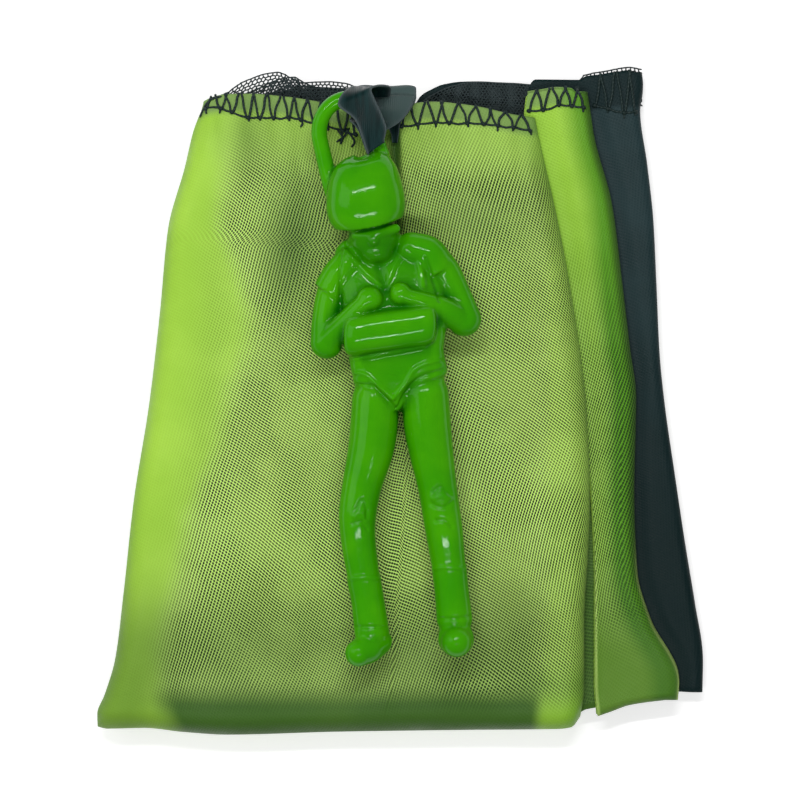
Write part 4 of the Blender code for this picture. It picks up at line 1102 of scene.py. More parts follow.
def build_black_canopy():
    """Black sheet: the leaf at the right, round its right fold and under as the inner leaf."""
    cloth = bpy.context.scene.parachute_cloth
    run = cloth.bundle_length

    def top_z(x, y, rim, strip):
        outside = x - along(PLEAT_RIGHT, strip.down(y)) * cloth.bundle_width
        crown = BLACK_TOP_Z + BLACK_CROWN * ease(outside, 0.0004, 0.0032)
        crown = crown + 0.00012 * waves(x, y, 0.022, 31) * ease(outside, 0.0004, 0.003)
        return BLACK_EDGE_Z + (crown - BLACK_EDGE_Z) * strip.bend * (0.3 + 0.7 * rim)

    def inner_z(x, y, rim, strip):
        rise = (INNER_Z - BLACK_RETURN_Z) * (1 - strip.shares)
        return BLACK_RETURN_Z + rise + 0.00010 * waves(x, y, 0.03, 41)

    shares, offsets, bend = rolled_columns(50, BLACK_ROLL)
    top = Strip(
        BLACK_EDGES, shares, offsets, end_y(cloth, BLACK_HEM, shares),
        end_y(cloth, BLACK_BOTTOM, shares), BLACK_END_ROLL, top_z, bend,
    )
    turn = np.linspace(0, math.pi / 2, 6)[1:]
    under = Strip(
        BLACK_EDGES, 1.0, -0.0006 * (1 - np.cos(turn)), end_y(cloth, BLACK_HEM, 1.0, 0.0008),
        end_y(cloth, BLACK_BOTTOM, 1.0) + 0.0006, END_ROLL, level_z,
        BLACK_EDGE_Z - (BLACK_EDGE_Z - BLACK_RETURN_Z) * np.sin(turn),
    )
    slide = np.linspace(1, 0, 26)[1:]
    between = Strip(
        (INNER_RIGHT, BLACK_RIGHT), slide, -0.0006 * slide,
        (along(INNER_HEM, 1.0) * (1 - slide) + along(BLACK_HEM, 1.0) * slide) * run - 0.0008,
        (along(INNER_BOTTOM, 1.0) * (1 - slide) + along(BLACK_BOTTOM, 1.0) * slide) * run + 0.0006,
        END_ROLL, level_z, BLACK_RETURN_Z,
    )
    shares = np.linspace(1, 0, 80)[1:]
    inner = Strip(
        (INNER_LEFT, INNER_RIGHT), shares, 0.0, end_y(cloth, INNER_HEM, shares, 0.0004),
        end_y(cloth, INNER_BOTTOM, shares) + 0.0006, END_ROLL, inner_z,
    )
    strips = [top, under, between, inner]
    points = np.concatenate([lay_strip(strip, cloth) for strip in strips], axis=1)
    valid = np.ones(points.shape[:2], bool)
    # Painted shade: darker towards the bottom and in the band along the hem.
    hem_lines = np.concatenate([strip.hem for strip in strips])
    below = hem_lines - points[..., 1]
    band = 1 - ease(below, 0.0058, 0.0066)
    shade = np.maximum(0.85 * ease(-points[..., 1], -0.045, 0.030), 0.70 * band)
    mesh = grid_mesh("black_canopy", points, valid, shade=shade)
    mesh.flip_normals()
    piece = link_piece("black_canopy", mesh, black_cloth())
    thicken(piece, cloth.cloth_thickness)
    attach(piece, "back_leaves")
    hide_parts("canopy_black_leaf", "canopy_black_inner")


# Net, threads and ribbon

NET_LEFT_CREST = [
    (0.00, 0.456), (0.05, 0.461), (0.10, 0.469), (0.18, 0.478), (0.28, 0.4855), (0.35, 0.489),
    (0.41, 0.4903), (0.46, 0.4876), (0.52, 0.4813), (0.58, 0.4745), (0.70, 0.4757),
    (0.79, 0.4761), (0.89, 0.4743), (1.00, 0.467),
]
NET_INNER_CREST = [
    (0.00, 0.458), (0.10, 0.466), (0.20, 0.474), (0.33, 0.482), (0.42, 0.483), (0.52, 0.474),
    (0.62, 0.468), (1.00, 0.465),
]
NET_LOW_CREST = [
    (0.00, 0.456), (0.15, 0.466), (0.25, 0.469), (0.60, 0.467), (1.00, 0.464),
]
NET_BAND_CREST = [
    (0.00, 0.440), (0.10, 0.455), (0.25, 0.469), (0.45, 0.4755), (0.75, 0.474), (1.00, 0.470),
]
NET_RIGHT_CREST = [
    (0.00, 0.468), (0.24, 0.476), (0.32, 0.4866), (0.62, 0.4935), (0.85, 0.4985), (1.00, 0.4955),
]
CORD_SIDES = 8


def net_layer(left, right, crest, depth, level, seed, cell_share=1.0):
    """Points and edges of one layer of net: six-sided cells hung unevenly under its crest."""
    scene = bpy.context.scene
    cloth, trim = scene.parachute_cloth, scene.parachute_trim
    cell = trim.net_cell * cell_share
    columns = max(2, 2 * round((right - left) / cell))
    step = 0.75 * cell
    rows = max(2, round(depth / step))
    draw = np.random.default_rng(seed)
    share = np.linspace(0, 1, columns + 1)
    crest_y = along(crest, share) * cloth.bundle_length
    places = []
    for row in range(rows + 1):
        x = left + (right - left) * share
        side = np.where((np.arange(columns + 1) + row) % 2 == 0, 1.0, -1.0)
        y = crest_y - step * row + cell / 8 * side * (row > 0)
        z = level + 0.00016 * np.sin(2 * math.pi * x / 0.0031 + seed)
        jitter = draw.uniform(-0.13, 0.13, (2, columns + 1)) * cell
        x = x + jitter[0] + 0.0002 * waves(x, y, 0.007, seed)
        y = y + jitter[1] * (row > 0)
        places.append(np.stack([x, y, z], axis=1))
    lines = []
    count = columns + 1
    for here in range((rows + 1) * count):
        row, column = divmod(here, count)
        if column < columns:
            lines.append((here, here + 1))
        if row < rows and (row + column) % 2 == 1:
            lines.append((here, here + count))
    return np.array(places).reshape(-1, 3), lines


def yarn_mesh(name, vertices, faces, place):
    """Mesh of yarn that knows each point's place along and round its strand."""
    mesh = new_mesh(name, [tuple(vertex) for vertex in vertices], faces)
    keep_values(mesh, strand_place=np.array(place))
    return mesh


def strands_mesh(name, layers, radius):
    """Every strand of the net as a slim four-sided rod."""
    vertices, faces, place = [], [], []
    for points, lines in layers:
        for first, last in lines:
            start, end = points[first], points[last]
            way = end - start
            reach = np.linalg.norm(way)
            if reach < 1e-7:
                continue
            way = way / reach
            side = np.cross(way, (0, 0, 1.0))
            side = side / np.linalg.norm(side)
            up = np.cross(side, way)
            base = len(vertices)
            past = way * radius * 0.5
            for centre, run in ((start - past, 0.0), (end + past, reach)):
                for k, (a, b) in enumerate(((1, 0), (0, 1), (-1, 0), (0, -1))):
                    vertices.append(centre + (side * a + up * b) * radius)
                    place.append((run / MM, k * math.pi / 2, 0))
            for k in range(4):
                n = (k + 1) % 4
                faces.append((base + k, base + n, base + 4 + n, base + 4 + k))
            faces.append((base + 3, base + 2, base + 1, base))
            faces.append((base + 4, base + 5, base + 6, base + 7))
    return yarn_mesh(name, vertices, faces, place)


def build_net():
    """Net skirt at the left of the neck, the band at its right and the corner over the black."""
    scene = bpy.context.scene
    cloth, trim = scene.parachute_cloth, scene.parachute_trim
    width, radius = cloth.bundle_width, trim.net_strand / 2
    material = strand_material("net_black", trim.net_dark, trim.net_light, 4.0)
    low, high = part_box("net_skirt")
    x, level = low.x, (low.z + high.z) / 2
    left = [
        net_layer(x, high.x + 0.0012, NET_LEFT_CREST, 0.0075, level + 0.00018, 1),
        net_layer(x + 0.0045, high.x + 0.0016, NET_INNER_CREST, 0.0060, level - 0.00012, 2, 0.82),
        net_layer(x + 0.0085, high.x + 0.0012, NET_LOW_CREST, 0.0058, level - 0.00030, 3, 0.74),
    ]
    skirt = link_piece("net_skirt_left", strands_mesh("net_skirt_left", left, radius), material)
    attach(skirt, "front_leaves")
    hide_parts("net_skirt")
    low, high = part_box("net_skirt_corner")
    right = [
        net_layer(0.03 * width, 0.236 * width, NET_BAND_CREST, 0.0060, 0.0032, 4, 0.8),
        net_layer(0.05 * width, 0.236 * width, NET_BAND_CREST, 0.0056, 0.0030, 5, 0.7),
        net_layer(low.x, high.x - 0.0004, NET_RIGHT_CREST, 0.0060, 0.0021, 6),
    ]
    band = link_piece("net_skirt_right", strands_mesh("net_skirt_right", right, radius), material)
    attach(band, "back_leaves")
    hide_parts("net_skirt_corner")


def tube(points, radius):
    """Round cord along points: its vertices, faces and the place along and round it."""
    points = np.asarray(points, float)
    last = len(points) - 1
    vertices, faces, place = [], [], []
    run = 0.0
    for i, centre in enumerate(points):
        way = points[min(i + 1, last)] - points[max(i - 1, 0)]
        way = way / max(np.linalg.norm(way), 1e-9)
        side = np.cross(way, (0.0, 0.0, 1.0))
        if np.linalg.norm(side) < 1e-3:
            side = np.array([1.0, 0.0, 0.0])
        side = side / np.linalg.norm(side)
        up = np.cross(side, way)
        if i:
            run += np.linalg.norm(centre - points[i - 1])
        thin = 0.55 if i in (0, last) else 1.0
        for k in range(CORD_SIDES):
            angle = 2 * math.pi * k / CORD_SIDES
            out = side * math.cos(angle) + up * math.sin(angle)
            vertices.append(centre + out * radius * thin)
            place.append((run / MM, angle, 0.0))
    for start in range(0, last * CORD_SIDES, CORD_SIDES):
        for k in range(CORD_SIDES):
            n = (k + 1) % CORD_SIDES
            faces.append((start + k, start + n, start + CORD_SIDES + n, start + CORD_SIDES + k))
    faces.append(tuple(range(CORD_SIDES - 1, -1, -1)))
    faces.append(tuple(last * CORD_SIDES + k for k in range(CORD_SIDES)))
    return vertices, faces, place


def cords_mesh(name, cords, radius):
    """Mesh of round cords, each with its share of the radius."""
    vertices, faces, place = [], [], []
    for points, share in cords:
        new_vertices, new_faces, new_place = tube(points, radius * share)
        base = len(vertices)
        vertices += new_vertices
        faces += [tuple(base + i for i in face) for face in new_faces]
        place += new_place
    return yarn_mesh(name, vertices, faces, place)


class Surface:
    """Heights of built cloth under any point, found from above."""

    def __init__(self, piece):
        graph = bpy.context.evaluated_depsgraph_get()
        shape = piece.evaluated_get(graph)
        mesh = shape.to_mesh()
        mesh.transform(piece.matrix_world)
        self.tree = BVHTree.FromPolygons(
            [v.co.copy() for v in mesh.vertices], [tuple(p.vertices) for p in mesh.polygons],
        )
        shape.to_mesh_clear()

    def height(self, x, y, fallback):
        """Height of the cloth at a place, or the fallback beside it."""
        hit = self.tree.ray_cast(Vector((x, y, 0.05)), Vector((0, 0, -1)))[0]
        return hit.z if hit else fallback


def overlock(surface, start_x, end_x, top, line, pitch, radius, seed, fallback):
    """Overlock stitches along a hem: legs from each knot over the edge, and the line below."""
    draw = np.random.default_rng(seed)
    cords = []
    count = max(2, round((end_x - start_x) / pitch))
    knots = [start_x + (end_x - start_x) * (i + draw.uniform(-0.12, 0.12)) / count
             for i in range(count + 1)]

    def put(x, y, lift):
        """Place on the cloth, lifted by a share of the thread's radius."""
        return (x, y, surface.height(x, y, fallback) + radius * lift)

    line_path = []
    for i, x in enumerate(knots):
        sag = draw.uniform(-0.3, 0.3) * radius
        line_path.append(put(x, line(x) + sag, 0.7))
        if i + 1 < len(knots):
            middle = (x + knots[i + 1]) / 2
            line_path.append(put(middle, line(middle) - draw.uniform(0.2, 1.2) * radius, 0.6))
    cords.append((smooth_path(line_path, 4), 0.85))
    for x in knots:
        low = line(x)
        for side in (-1, 1):
            reach = pitch * draw.uniform(0.36, 0.52) * side
            if not start_x - 0.2 * pitch < x + reach < end_x + 0.2 * pitch:
                continue
            high = top(x + reach)
            depth = high - low
            foot = x + side * radius * 0.8
            bow = draw.uniform(-0.10, 0.14) * pitch * side
            path = [
                put(foot, low - radius, 0.8), put(x + 0.45 * reach + bow, low + 0.42 * depth, 1.0),
                put(x + 0.85 * reach, low + 0.82 * depth, 1.0), put(x + reach, high - radius, 0.9),
            ]
            edge_z = path[-1][2]
            path.append((x + reach * 1.04, high + radius * 0.5, edge_z - 0.0002))
            path.append((x + reach * 1.02, high + radius * 0.2, edge_z - 0.0007))
            cords.append((smooth_path(path, 4), draw.uniform(0.85, 1.1)))
        size = draw.uniform(1.0, 1.5)
        knot = [
            put(x - radius * size, low + radius * 0.5, 1.0), put(x, low - radius * 0.5, 1.5),
            put(x + radius * size, low - radius * 0.2, 1.0),
        ]
        cords.append((smooth_path(knot, 3), 1.55))
        if draw.uniform() < 0.7:
            tail = draw.uniform(0.0004, 0.0011)
            lean = draw.uniform(-0.4, 0.4) * tail
            end = [
                put(x, low, 1.0), put(x + lean / 2, low - tail / 2, 0.9),
                put(x + lean, low - tail, 0.8),
            ]
            cords.append((smooth_path(end, 3), 0.9))
    return cords


# Lines of the hem stitches and the loose ends, as shares of the bundle's width and length.
FRONT_LINE_LEFT = [
    (-0.3204, 0.4358), (-0.3089, 0.4396), (-0.2941, 0.4358), (-0.2759, 0.4299),
    (-0.2545, 0.4224), (-0.2183, 0.4216), (-0.1755, 0.4224), (-0.1507, 0.4157),
    (-0.1145, 0.4075), (-0.0733, 0.3970),
]
FRONT_LINE_RIGHT = [
    (0.0041, 0.4090), (0.0519, 0.4149), (0.1326, 0.4134), (0.1870, 0.4075),
    (0.2216, 0.4015),
]
PLEAT_LINE = [(0.2166, 0.4328), (0.2397, 0.4343), (0.2628, 0.4418), (0.3089, 0.4373)]
BLACK_LINE = [(0.3188, 0.4418), (0.3353, 0.4388), (0.3649, 0.4299), (0.3946, 0.4328)]
LOOSE_ENDS = [
    [(-0.1030, 0.4030), (-0.0947, 0.3925), (-0.0980, 0.3821)],
    [(-0.0898, 0.4060), (-0.0799, 0.3940), (-0.0750, 0.3851), (-0.0799, 0.3776)],
    [(-0.0832, 0.4060), (-0.0914, 0.3940), (-0.1046, 0.3851)],
    [(-0.1656, 0.4209), (-0.1606, 0.4134), (-0.1639, 0.4075)],
    [(-0.3303, 0.4224), (-0.3245, 0.4343), (-0.3180, 0.4440), (-0.3081, 0.4507),
     (-0.2941, 0.4537)],
]


def line_of(rows, cloth):
    """Function for the height along Y of the stitches' line."""
    xs, ys = (np.array(rows) * (cloth.bundle_width, cloth.bundle_length)).T
    return lambda x: float(np.interp(x, xs, ys))


def hem_of(edges, hem, cloth):
    """Left and right end of a hem, and a function for its height along Y."""
    left, right = (edge[0][1] * cloth.bundle_width for edge in edges)

    def top(x):
        return float(along(hem, (x - left) / (right - left))) * cloth.bundle_length

    return left, right, top


def build_threads():
    """Overlocked hem threads of the front leaf, the pleat and the black leaf, with loose ends."""
    scene = bpy.context.scene
    cloth, trim = scene.parachute_cloth, scene.parachute_trim
    width, run = cloth.bundle_width, cloth.bundle_length
    radius, pitch = trim.thread_radius, trim.stitch_pitch
    material = strand_material("hem_thread", trim.thread_dark, trim.thread_light, 9.0)
    green = Surface(bpy.data.objects["green_canopy"])
    left, right, top = hem_of(FRONT_EDGES, FRONT_HEM, cloth)
    cords = overlock(
        green, left + 0.0004, FRONT_LINE_LEFT[-1][0] * width, top,
        line_of(FRONT_LINE_LEFT, cloth), pitch * 0.96, radius, 1, HEM_Z,
    )
    cords += overlock(
        green, FRONT_LINE_RIGHT[0][0] * width, right - 0.0006, top,
        line_of(FRONT_LINE_RIGHT, cloth), pitch * 1.16, radius, 2, HEM_Z,
    )
    left, right, top = hem_of(PLEAT_EDGES, PLEAT_HEM, cloth)
    cords += overlock(
        green, left + 0.0004, right - 0.0004, top, line_of(PLEAT_LINE, cloth), pitch, radius, 3,
        PLEAT_TOP_Z,
    )
    for rows in LOOSE_ENDS:
        path = []
        for i, (across, up) in enumerate(rows):
            x, y = across * width, up * run
            path.append((x, y, green.height(x, y, HEM_Z) + radius * (1 + 0.4 * (i % 2))))
        cords.append((smooth_path(path, 5), 0.9))
    front = link_piece("hem_thread_front", cords_mesh("hem_thread_front", cords, radius), material)
    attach(front, "front_leaves")

    black = Surface(bpy.data.objects["black_canopy"])
    _, right, top = hem_of(BLACK_EDGES, BLACK_HEM, cloth)
    cords = overlock(
        black, BLACK_LINE[0][0] * width, right - 0.0008, top, line_of(BLACK_LINE, cloth), pitch,
        radius, 4, BLACK_TOP_Z,
    )
    back = link_piece("hem_thread_back", cords_mesh("hem_thread_back", cords, radius), material)
    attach(back, "back_leaves")


# Ribbon route round the eye: across, along and up from the eye's centre, as shares of the eye's
# radius, then the width's direction in plan (degrees from +X) and the width as a share.
RIBBON_ROUTE = [
    (0.62, 1.34, -0.90, 0, 0.86), (0.50, 1.38, -0.35, 2, 0.86), (0.24, 1.28, 0.14, 12, 0.84),
    (0.08, 1.10, 0.40, 20, 0.84), (0.15, 0.84, 0.49, 12, 0.88), (0.46, 0.46, 0.56, 10, 0.68),
    (0.64, 0.02, 0.60, 14, 0.63), (0.70, -0.40, 0.590, 36, 0.53), (0.695, -0.49, 0.53, 36, 0.50),
    (0.62, -0.36, 0.470, 30, 0.46), (0.48, -0.02, 0.44, 16, 0.42), (0.30, 0.22, 0.34, 6, 0.38),
    (0.14, 0.30, 0.06, -10, 0.36), (0.14, 0.28, -0.22, -34, 0.38), (0.34, 0.22, -0.44, -56, 0.42),
    (0.70, 0.26, -0.52, -58, 0.46), (0.98, 0.40, -0.58, -44, 0.52), (1.16, 0.60, -0.70, -24, 0.66),
    (1.24, 0.84, -0.98, -8, 0.86), (1.27, 1.10, -1.28, 0, 0.98),
]
EYE_RADIUS = 0.0058
RIBBON_NECK_RUN = 0.0060
NECK_SHIFT = 0.0037
NECK_RISE = 0.0009
# The neck's front part gathers to a tail: across, along, up and width as shares of the ribbon's.
NECK_TAIL = [
    (0.00, -0.06, 0.02, 1.00), (-0.01, -0.19, 0.05, 0.94), (-0.03, -0.41, 0.08, 0.71),
    (-0.06, -0.68, 0.09, 0.37), (-0.02, -0.92, 0.10, 0.20), (-0.02, -1.16, 0.10, 0.13),
]
RIBBON_COLUMNS = 14
RIBBON_CUP = 0.025


def ribbon_sheet(name, rows, trim, material, lit):
    """Satin strap along rows of centre, width's direction (degrees) and share of the width."""
    centres = np.array([row[:3] for row in rows], float)
    spread = np.linspace(-0.5, 0.5, RIBBON_COLUMNS)
    points = []
    for i, centre in enumerate(centres):
        angle, width = math.radians(rows[i][3]), rows[i][4] * trim.ribbon_width
        way = centres[min(i + 1, len(centres) - 1)] - centres[max(i - 1, 0)]
        across = np.array([math.cos(angle), math.sin(angle), 0.0])
        up = np.cross(across, way / np.linalg.norm(way))
        up = up / np.linalg.norm(up)
        cup = RIBBON_CUP * width * (1 - (2 * spread) ** 2)
        points.append(centre + np.outer(spread * width, across) + np.outer(cup, up))
    points = np.array(points)
    # Painted highlight along both edges of the strap.
    mesh = grid_mesh(
        name, points, np.ones(points.shape[:2], bool), selvedge=np.abs(2 * spread) ** 10,
        lit=lit[:, None],
    )
    piece = link_piece(name, mesh, material)
    thicken(piece, trim.ribbon_thickness)
    return piece


def build_ribbon():
    """Satin ribbon: sewn round the hem at the neck, up through the eye and back."""
    trim = bpy.context.scene.parachute_trim
    lift = joint_places["ribbon_lift"]
    eye = np.array(joint_places["figure_turn"])
    low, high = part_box("ribbon_neck")
    neck_x, width = lift.x, trim.ribbon_width
    floor = low.z + trim.ribbon_thickness / 2 + 0.0001
    roof = high.z - trim.ribbon_thickness / 2
    bend = (roof - floor) / 2
    neck_y = high.y + NECK_RISE - bend - trim.ribbon_thickness / 2
    rows = [(neck_x, neck_y - RIBBON_NECK_RUN * share, floor, 0, 1) for share in (1.0, 0.5)]
    for step in range(17):
        angle = math.pi * (step / 16 - 0.5)
        rows.append((
            neck_x + NECK_SHIFT * ease(step, 4, 12), neck_y + bend * math.cos(angle),
            floor + bend + bend * math.sin(angle), 0, 1,
        ))
    for x, y, z, share in smooth_path(NECK_TAIL, 6):
        place = (neck_x + NECK_SHIFT + x * width, neck_y + y * width, roof + z * width)
        rows.append((*place, 0, share))
    material = ribbon_satin()
    lit = ease([row[1] for row in rows], neck_y - 0.0052, neck_y - 0.0012)
    neck = ribbon_sheet("ribbon_neck_satin", rows, trim, material, lit)
    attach(neck, "front_leaves")
    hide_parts("ribbon_neck")

    rows = [
        (neck_x - 0.0005, lift.y - back, lift.z + 0.00045, 0.0, 0.86) for back in (0.0021, 0.0006)
    ]
    for x, y, z, turn, share in RIBBON_ROUTE:
        rows.append((*(eye + np.array([x, y, z]) * EYE_RADIUS), turn, share))
    rows = smooth_path(rows, 8)
    lit = ease(np.arange(len(rows)) / len(rows), 0.78, 0.96)
    loop = ribbon_sheet("ribbon_loop_satin", rows, trim, material, lit)
    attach(loop, "ribbon")
    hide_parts("ribbon_loop")


# Jumper: places are shares of its width across, of its height up from the eye's centre, and of its
# depth up from its back. A lofted body has rows of (along, left, right, back, front). A limb has
# rows of (across, along, up, radius), its radius as a share of its kind's.
TORSO = [
    (-0.208, -0.02, 0.34, 0.24, 0.50), (-0.220, -0.07, 0.42, 0.18, 0.57),
    (-0.236, -0.10, 0.49, 0.15, 0.63), (-0.262, -0.11, 0.53, 0.13, 0.69),
    (-0.302, -0.09, 0.55, 0.12, 0.76), (-0.350, -0.07, 0.55, 0.12, 0.82),
    (-0.402, -0.04, 0.54, 0.13, 0.82), (-0.432, -0.03, 0.53, 0.14, 0.80),
    (-0.470, -0.01, 0.55, 0.14, 0.79), (-0.486, 0.00, 0.52, 0.14, 0.79),
    (-0.500, 0.01, 0.42, 0.15, 0.78), (-0.512, 0.06, 0.36, 0.16, 0.77),
    (-0.524, 0.12, 0.33, 0.18, 0.76), (-0.540, 0.19, 0.30, 0.22, 0.73),
    (-0.552, 0.23, 0.27, 0.30, 0.68),
]
HIP = [
    (-0.430, 0.02, 0.50, 0.18, 0.74), (-0.480, 0.01, 0.53, 0.17, 0.74),
    (-0.512, 0.02, 0.53, 0.18, 0.71), (-0.530, 0.08, 0.46, 0.21, 0.67),
    (-0.546, 0.18, 0.34, 0.28, 0.60),
]
HELMET = [
    (-0.053, 0.01, 0.12, 0.38, 0.62), (-0.058, -0.05, 0.17, 0.24, 0.75),
    (-0.070, -0.10, 0.215, 0.12, 0.86), (-0.092, -0.135, 0.255, 0.04, 0.95),
    (-0.122, -0.150, 0.285, 0.00, 1.00), (-0.152, -0.152, 0.305, 0.01, 1.00),
    (-0.176, -0.132, 0.308, 0.04, 0.97), (-0.193, -0.100, 0.295, 0.08, 0.91),
]
LIMB_RADII = {
    "leg": 0.0042, "boot": 0.0031, "foot": 0.0030, "arm": 0.0028, "forearm": 0.0012,
    "brow": 0.0011, "strap": 0.00062, "neck": 0.00205,
}
LIMBS = [
    ("leg", [
        (0.135, -0.530, 0.45, 1.00), (0.113, -0.616, 0.45, 0.98), (0.058, -0.696, 0.46, 0.84),
        (0.030, -0.757, 0.47, 0.79), (0.035, -0.810, 0.45, 0.73), (0.060, -0.870, 0.43, 0.69),
    ]),
    ("leg", [
        (0.420, -0.520, 0.45, 1.00), (0.436, -0.586, 0.45, 0.99), (0.460, -0.640, 0.45, 0.92),
        (0.492, -0.704, 0.47, 0.82), (0.529, -0.787, 0.47, 0.79), (0.555, -0.853, 0.43, 0.72),
    ]),
    ("boot", [
        (0.066, -0.884, 0.43, 0.97), (0.090, -0.930, 0.42, 0.95), (0.113, -0.990, 0.41, 1.00),
    ]),
    ("boot", [
        (0.560, -0.864, 0.43, 1.00), (0.573, -0.905, 0.42, 0.98), (0.590, -0.962, 0.41, 1.02),
    ]),
    ("foot", [
        (0.145, -1.008, 0.36, 0.86), (0.090, -1.020, 0.46, 0.93), (0.036, -1.030, 0.56, 0.80),
    ]),
    ("foot", [
        (0.595, -0.996, 0.36, 1.02), (0.600, -1.004, 0.48, 1.05), (0.602, -1.008, 0.58, 0.90),
    ]),
    ("arm", [
        (-0.045, -0.272, 0.50, 1.02), (-0.120, -0.320, 0.47, 0.94), (-0.150, -0.375, 0.45, 0.93),
        (-0.150, -0.417, 0.47, 1.02),
    ]),
    ("arm", [
        (0.410, -0.240, 0.50, 1.10), (0.520, -0.272, 0.48, 1.04), (0.600, -0.325, 0.46, 0.98),
        (0.645, -0.370, 0.48, 1.10),
    ]),
    ("forearm", [
        (-0.147, -0.414, 0.50, 2.10), (-0.065, -0.386, 0.64, 1.75), (0.016, -0.357, 0.75, 1.50),
        (0.080, -0.337, 0.80, 1.50),
    ]),
    ("forearm", [
        (0.638, -0.373, 0.52, 2.15), (0.534, -0.353, 0.66, 1.85), (0.417, -0.337, 0.76, 1.45),
        (0.295, -0.325, 0.81, 1.25),
    ]),
    ("brow", [
        (0.020, -0.206, 0.70, 0.8), (0.130, -0.206, 0.77, 0.9), (0.250, -0.192, 0.70, 0.8),
    ]),
    ("strap", [
        (0.366, -0.232, 0.615, 1.0), (0.386, -0.262, 0.680, 1.0), (0.400, -0.285, 0.725, 1.0),
        (0.408, -0.306, 0.745, 1.0),
    ]),
    ("neck", [(0.130, -0.230, 0.46, 1.15), (0.170, -0.290, 0.46, 1.3)]),
]
# Sleeves, with their radii in metres.
SLEEVES = [
    [(-0.010, -0.258, 0.50, 0.00290), (-0.075, -0.284, 0.49, 0.00305),
     (-0.133, -0.317, 0.47, 0.00300)],
    [(0.342, -0.2316, 0.50, 0.00300), (0.435, -0.2435, 0.50, 0.00335),
     (0.497, -0.2780, 0.49, 0.00335)],
]
# Fists: centre, and radii in metres.
FISTS = [
    ((0.1015, -0.331, 0.80), (0.00235, 0.00220, 0.00190)),
    ((0.2780, -0.321, 0.80), (0.00195, 0.00205, 0.00180)),
]
PACK = [
    (-0.3510, 0.000, 0.440, 0.50, 0.80), (-0.3535, -0.022, 0.460, 0.50, 0.87),
    (-0.3600, -0.038, 0.474, 0.50, 0.94), (-0.3720, -0.048, 0.482, 0.50, 0.985),
    (-0.3910, -0.051, 0.486, 0.50, 1.00), (-0.4090, -0.049, 0.484, 0.50, 0.985),
    (-0.4220, -0.042, 0.476, 0.50, 0.94), (-0.4300, -0.026, 0.461, 0.50, 0.87),
    (-0.4335, 0.000, 0.440, 0.50, 0.79),
]
# Low pack on the back and egg-shaped lumps: centre and half sizes. The painted shade over the face,
# under the helmet's brim: centre and reach.
BACK_PACK = ((0.230, -0.345, 0.15), (0.185, 0.080, 0.15))
EGGS = [
    ((0.126, -0.212, 0.50), (0.152, 0.050, 0.32)), ((0.140, -0.240, 0.53), (0.108, 0.028, 0.29)),
    ((0.122, -0.216, 0.80), (0.036, 0.013, 0.06)),
]
FACE_SHADE = ((0.135, -0.228, 0.86), (0.19, 0.042))
PACK_LEAN = 0.14
HELMET_LEAN, HELMET_SAG = 0.19, 0.0010
EYE_ROD = 0.0014
EYE_HALF_WIDTH = 0.0051
EYE_SHIFT = -0.023
EYE_HEIGHT = 0.43
EYE_LEG_LEFT = [(-0.092, -0.140, 1.12), (-0.140, -0.085, 1.04)]
EYE_LEG_RIGHT = [(0.163, -0.046, 1.15), (0.200, -0.097, 1.60), (0.215, -0.130, 1.80)]
# Lines pressed into the moulding (negative) or raised on it: height, half width, and places.
LINES = [
    (-0.00030, 0.00030, [(-0.070, -0.242), (-0.070, -0.300), (-0.066, -0.352)]),
    (-0.00030, 0.00030, [(0.425, -0.250), (0.462, -0.290), (0.505, -0.335)]),
    (-0.00050, 0.00085, [(0.155, -0.270), (0.176, -0.292), (0.190, -0.312)]),
    (0.00036, 0.00042, [(-0.040, -0.236), (0.080, -0.2785), (0.166, -0.303)]),
    (0.00024, 0.00060, [(0.313, -0.223), (0.235, -0.268), (0.200, -0.300)]),
    (0.00024, 0.00034, [(0.010, -0.450), (0.200, -0.438), (0.420, -0.424)]),
    (0.00034, 0.00036, [(0.020, -0.476), (0.080, -0.481), (0.133, -0.497), (0.236, -0.527)]),
    (0.00034, 0.00036, [(0.236, -0.527), (0.300, -0.500), (0.359, -0.470), (0.438, -0.457),
                        (0.500, -0.452)]),
    (-0.00048, 0.00044, [(0.000, -0.502), (0.110, -0.502), (0.158, -0.5155), (0.252, -0.550)]),
    (-0.00048, 0.00044, [(0.530, -0.472), (0.392, -0.486), (0.313, -0.5155), (0.262, -0.550)]),
    (-0.00026, 0.00034, [(0.020, -0.745), (0.055, -0.728), (0.085, -0.745), (0.080, -0.765)]),
    (-0.00026, 0.00034, [(0.000, -0.775), (0.050, -0.770), (0.085, -0.785)]),
    (0.00022, 0.00034, [(0.010, -0.760), (0.050, -0.752), (0.080, -0.768)]),
    (-0.00028, 0.00034, [(0.465, -0.712), (0.510, -0.702), (0.565, -0.715)]),
    (-0.00028, 0.00034, [(0.455, -0.735), (0.520, -0.742), (0.570, -0.734)]),
    (0.00022, 0.00034, [(0.465, -0.724), (0.515, -0.721), (0.565, -0.725)]),
    (-0.00028, 0.00034, [(0.480, -0.768), (0.530, -0.768), (0.575, -0.780)]),
    (0.00028, 0.00034, [(-0.010, -0.884), (0.070, -0.880), (0.160, -0.884)]),
    (0.00028, 0.00034, [(0.450, -0.864), (0.560, -0.860), (0.660, -0.866)]),
    (-0.00030, 0.00032, [(0.005, -0.980), (0.110, -0.978), (0.220, -0.980)]),
    (-0.00030, 0.00032, [(0.490, -0.962), (0.590, -0.962), (0.690, -0.958)]),
]


def points_and_normals(mesh):
    """Places and normals of a mesh's points."""
    found = []
    for name in ("co", "normal"):
        values = np.empty(len(mesh.vertices) * 3)
        mesh.vertices.foreach_get(name, values)
        found.append(values.reshape(-1, 3))
    return found


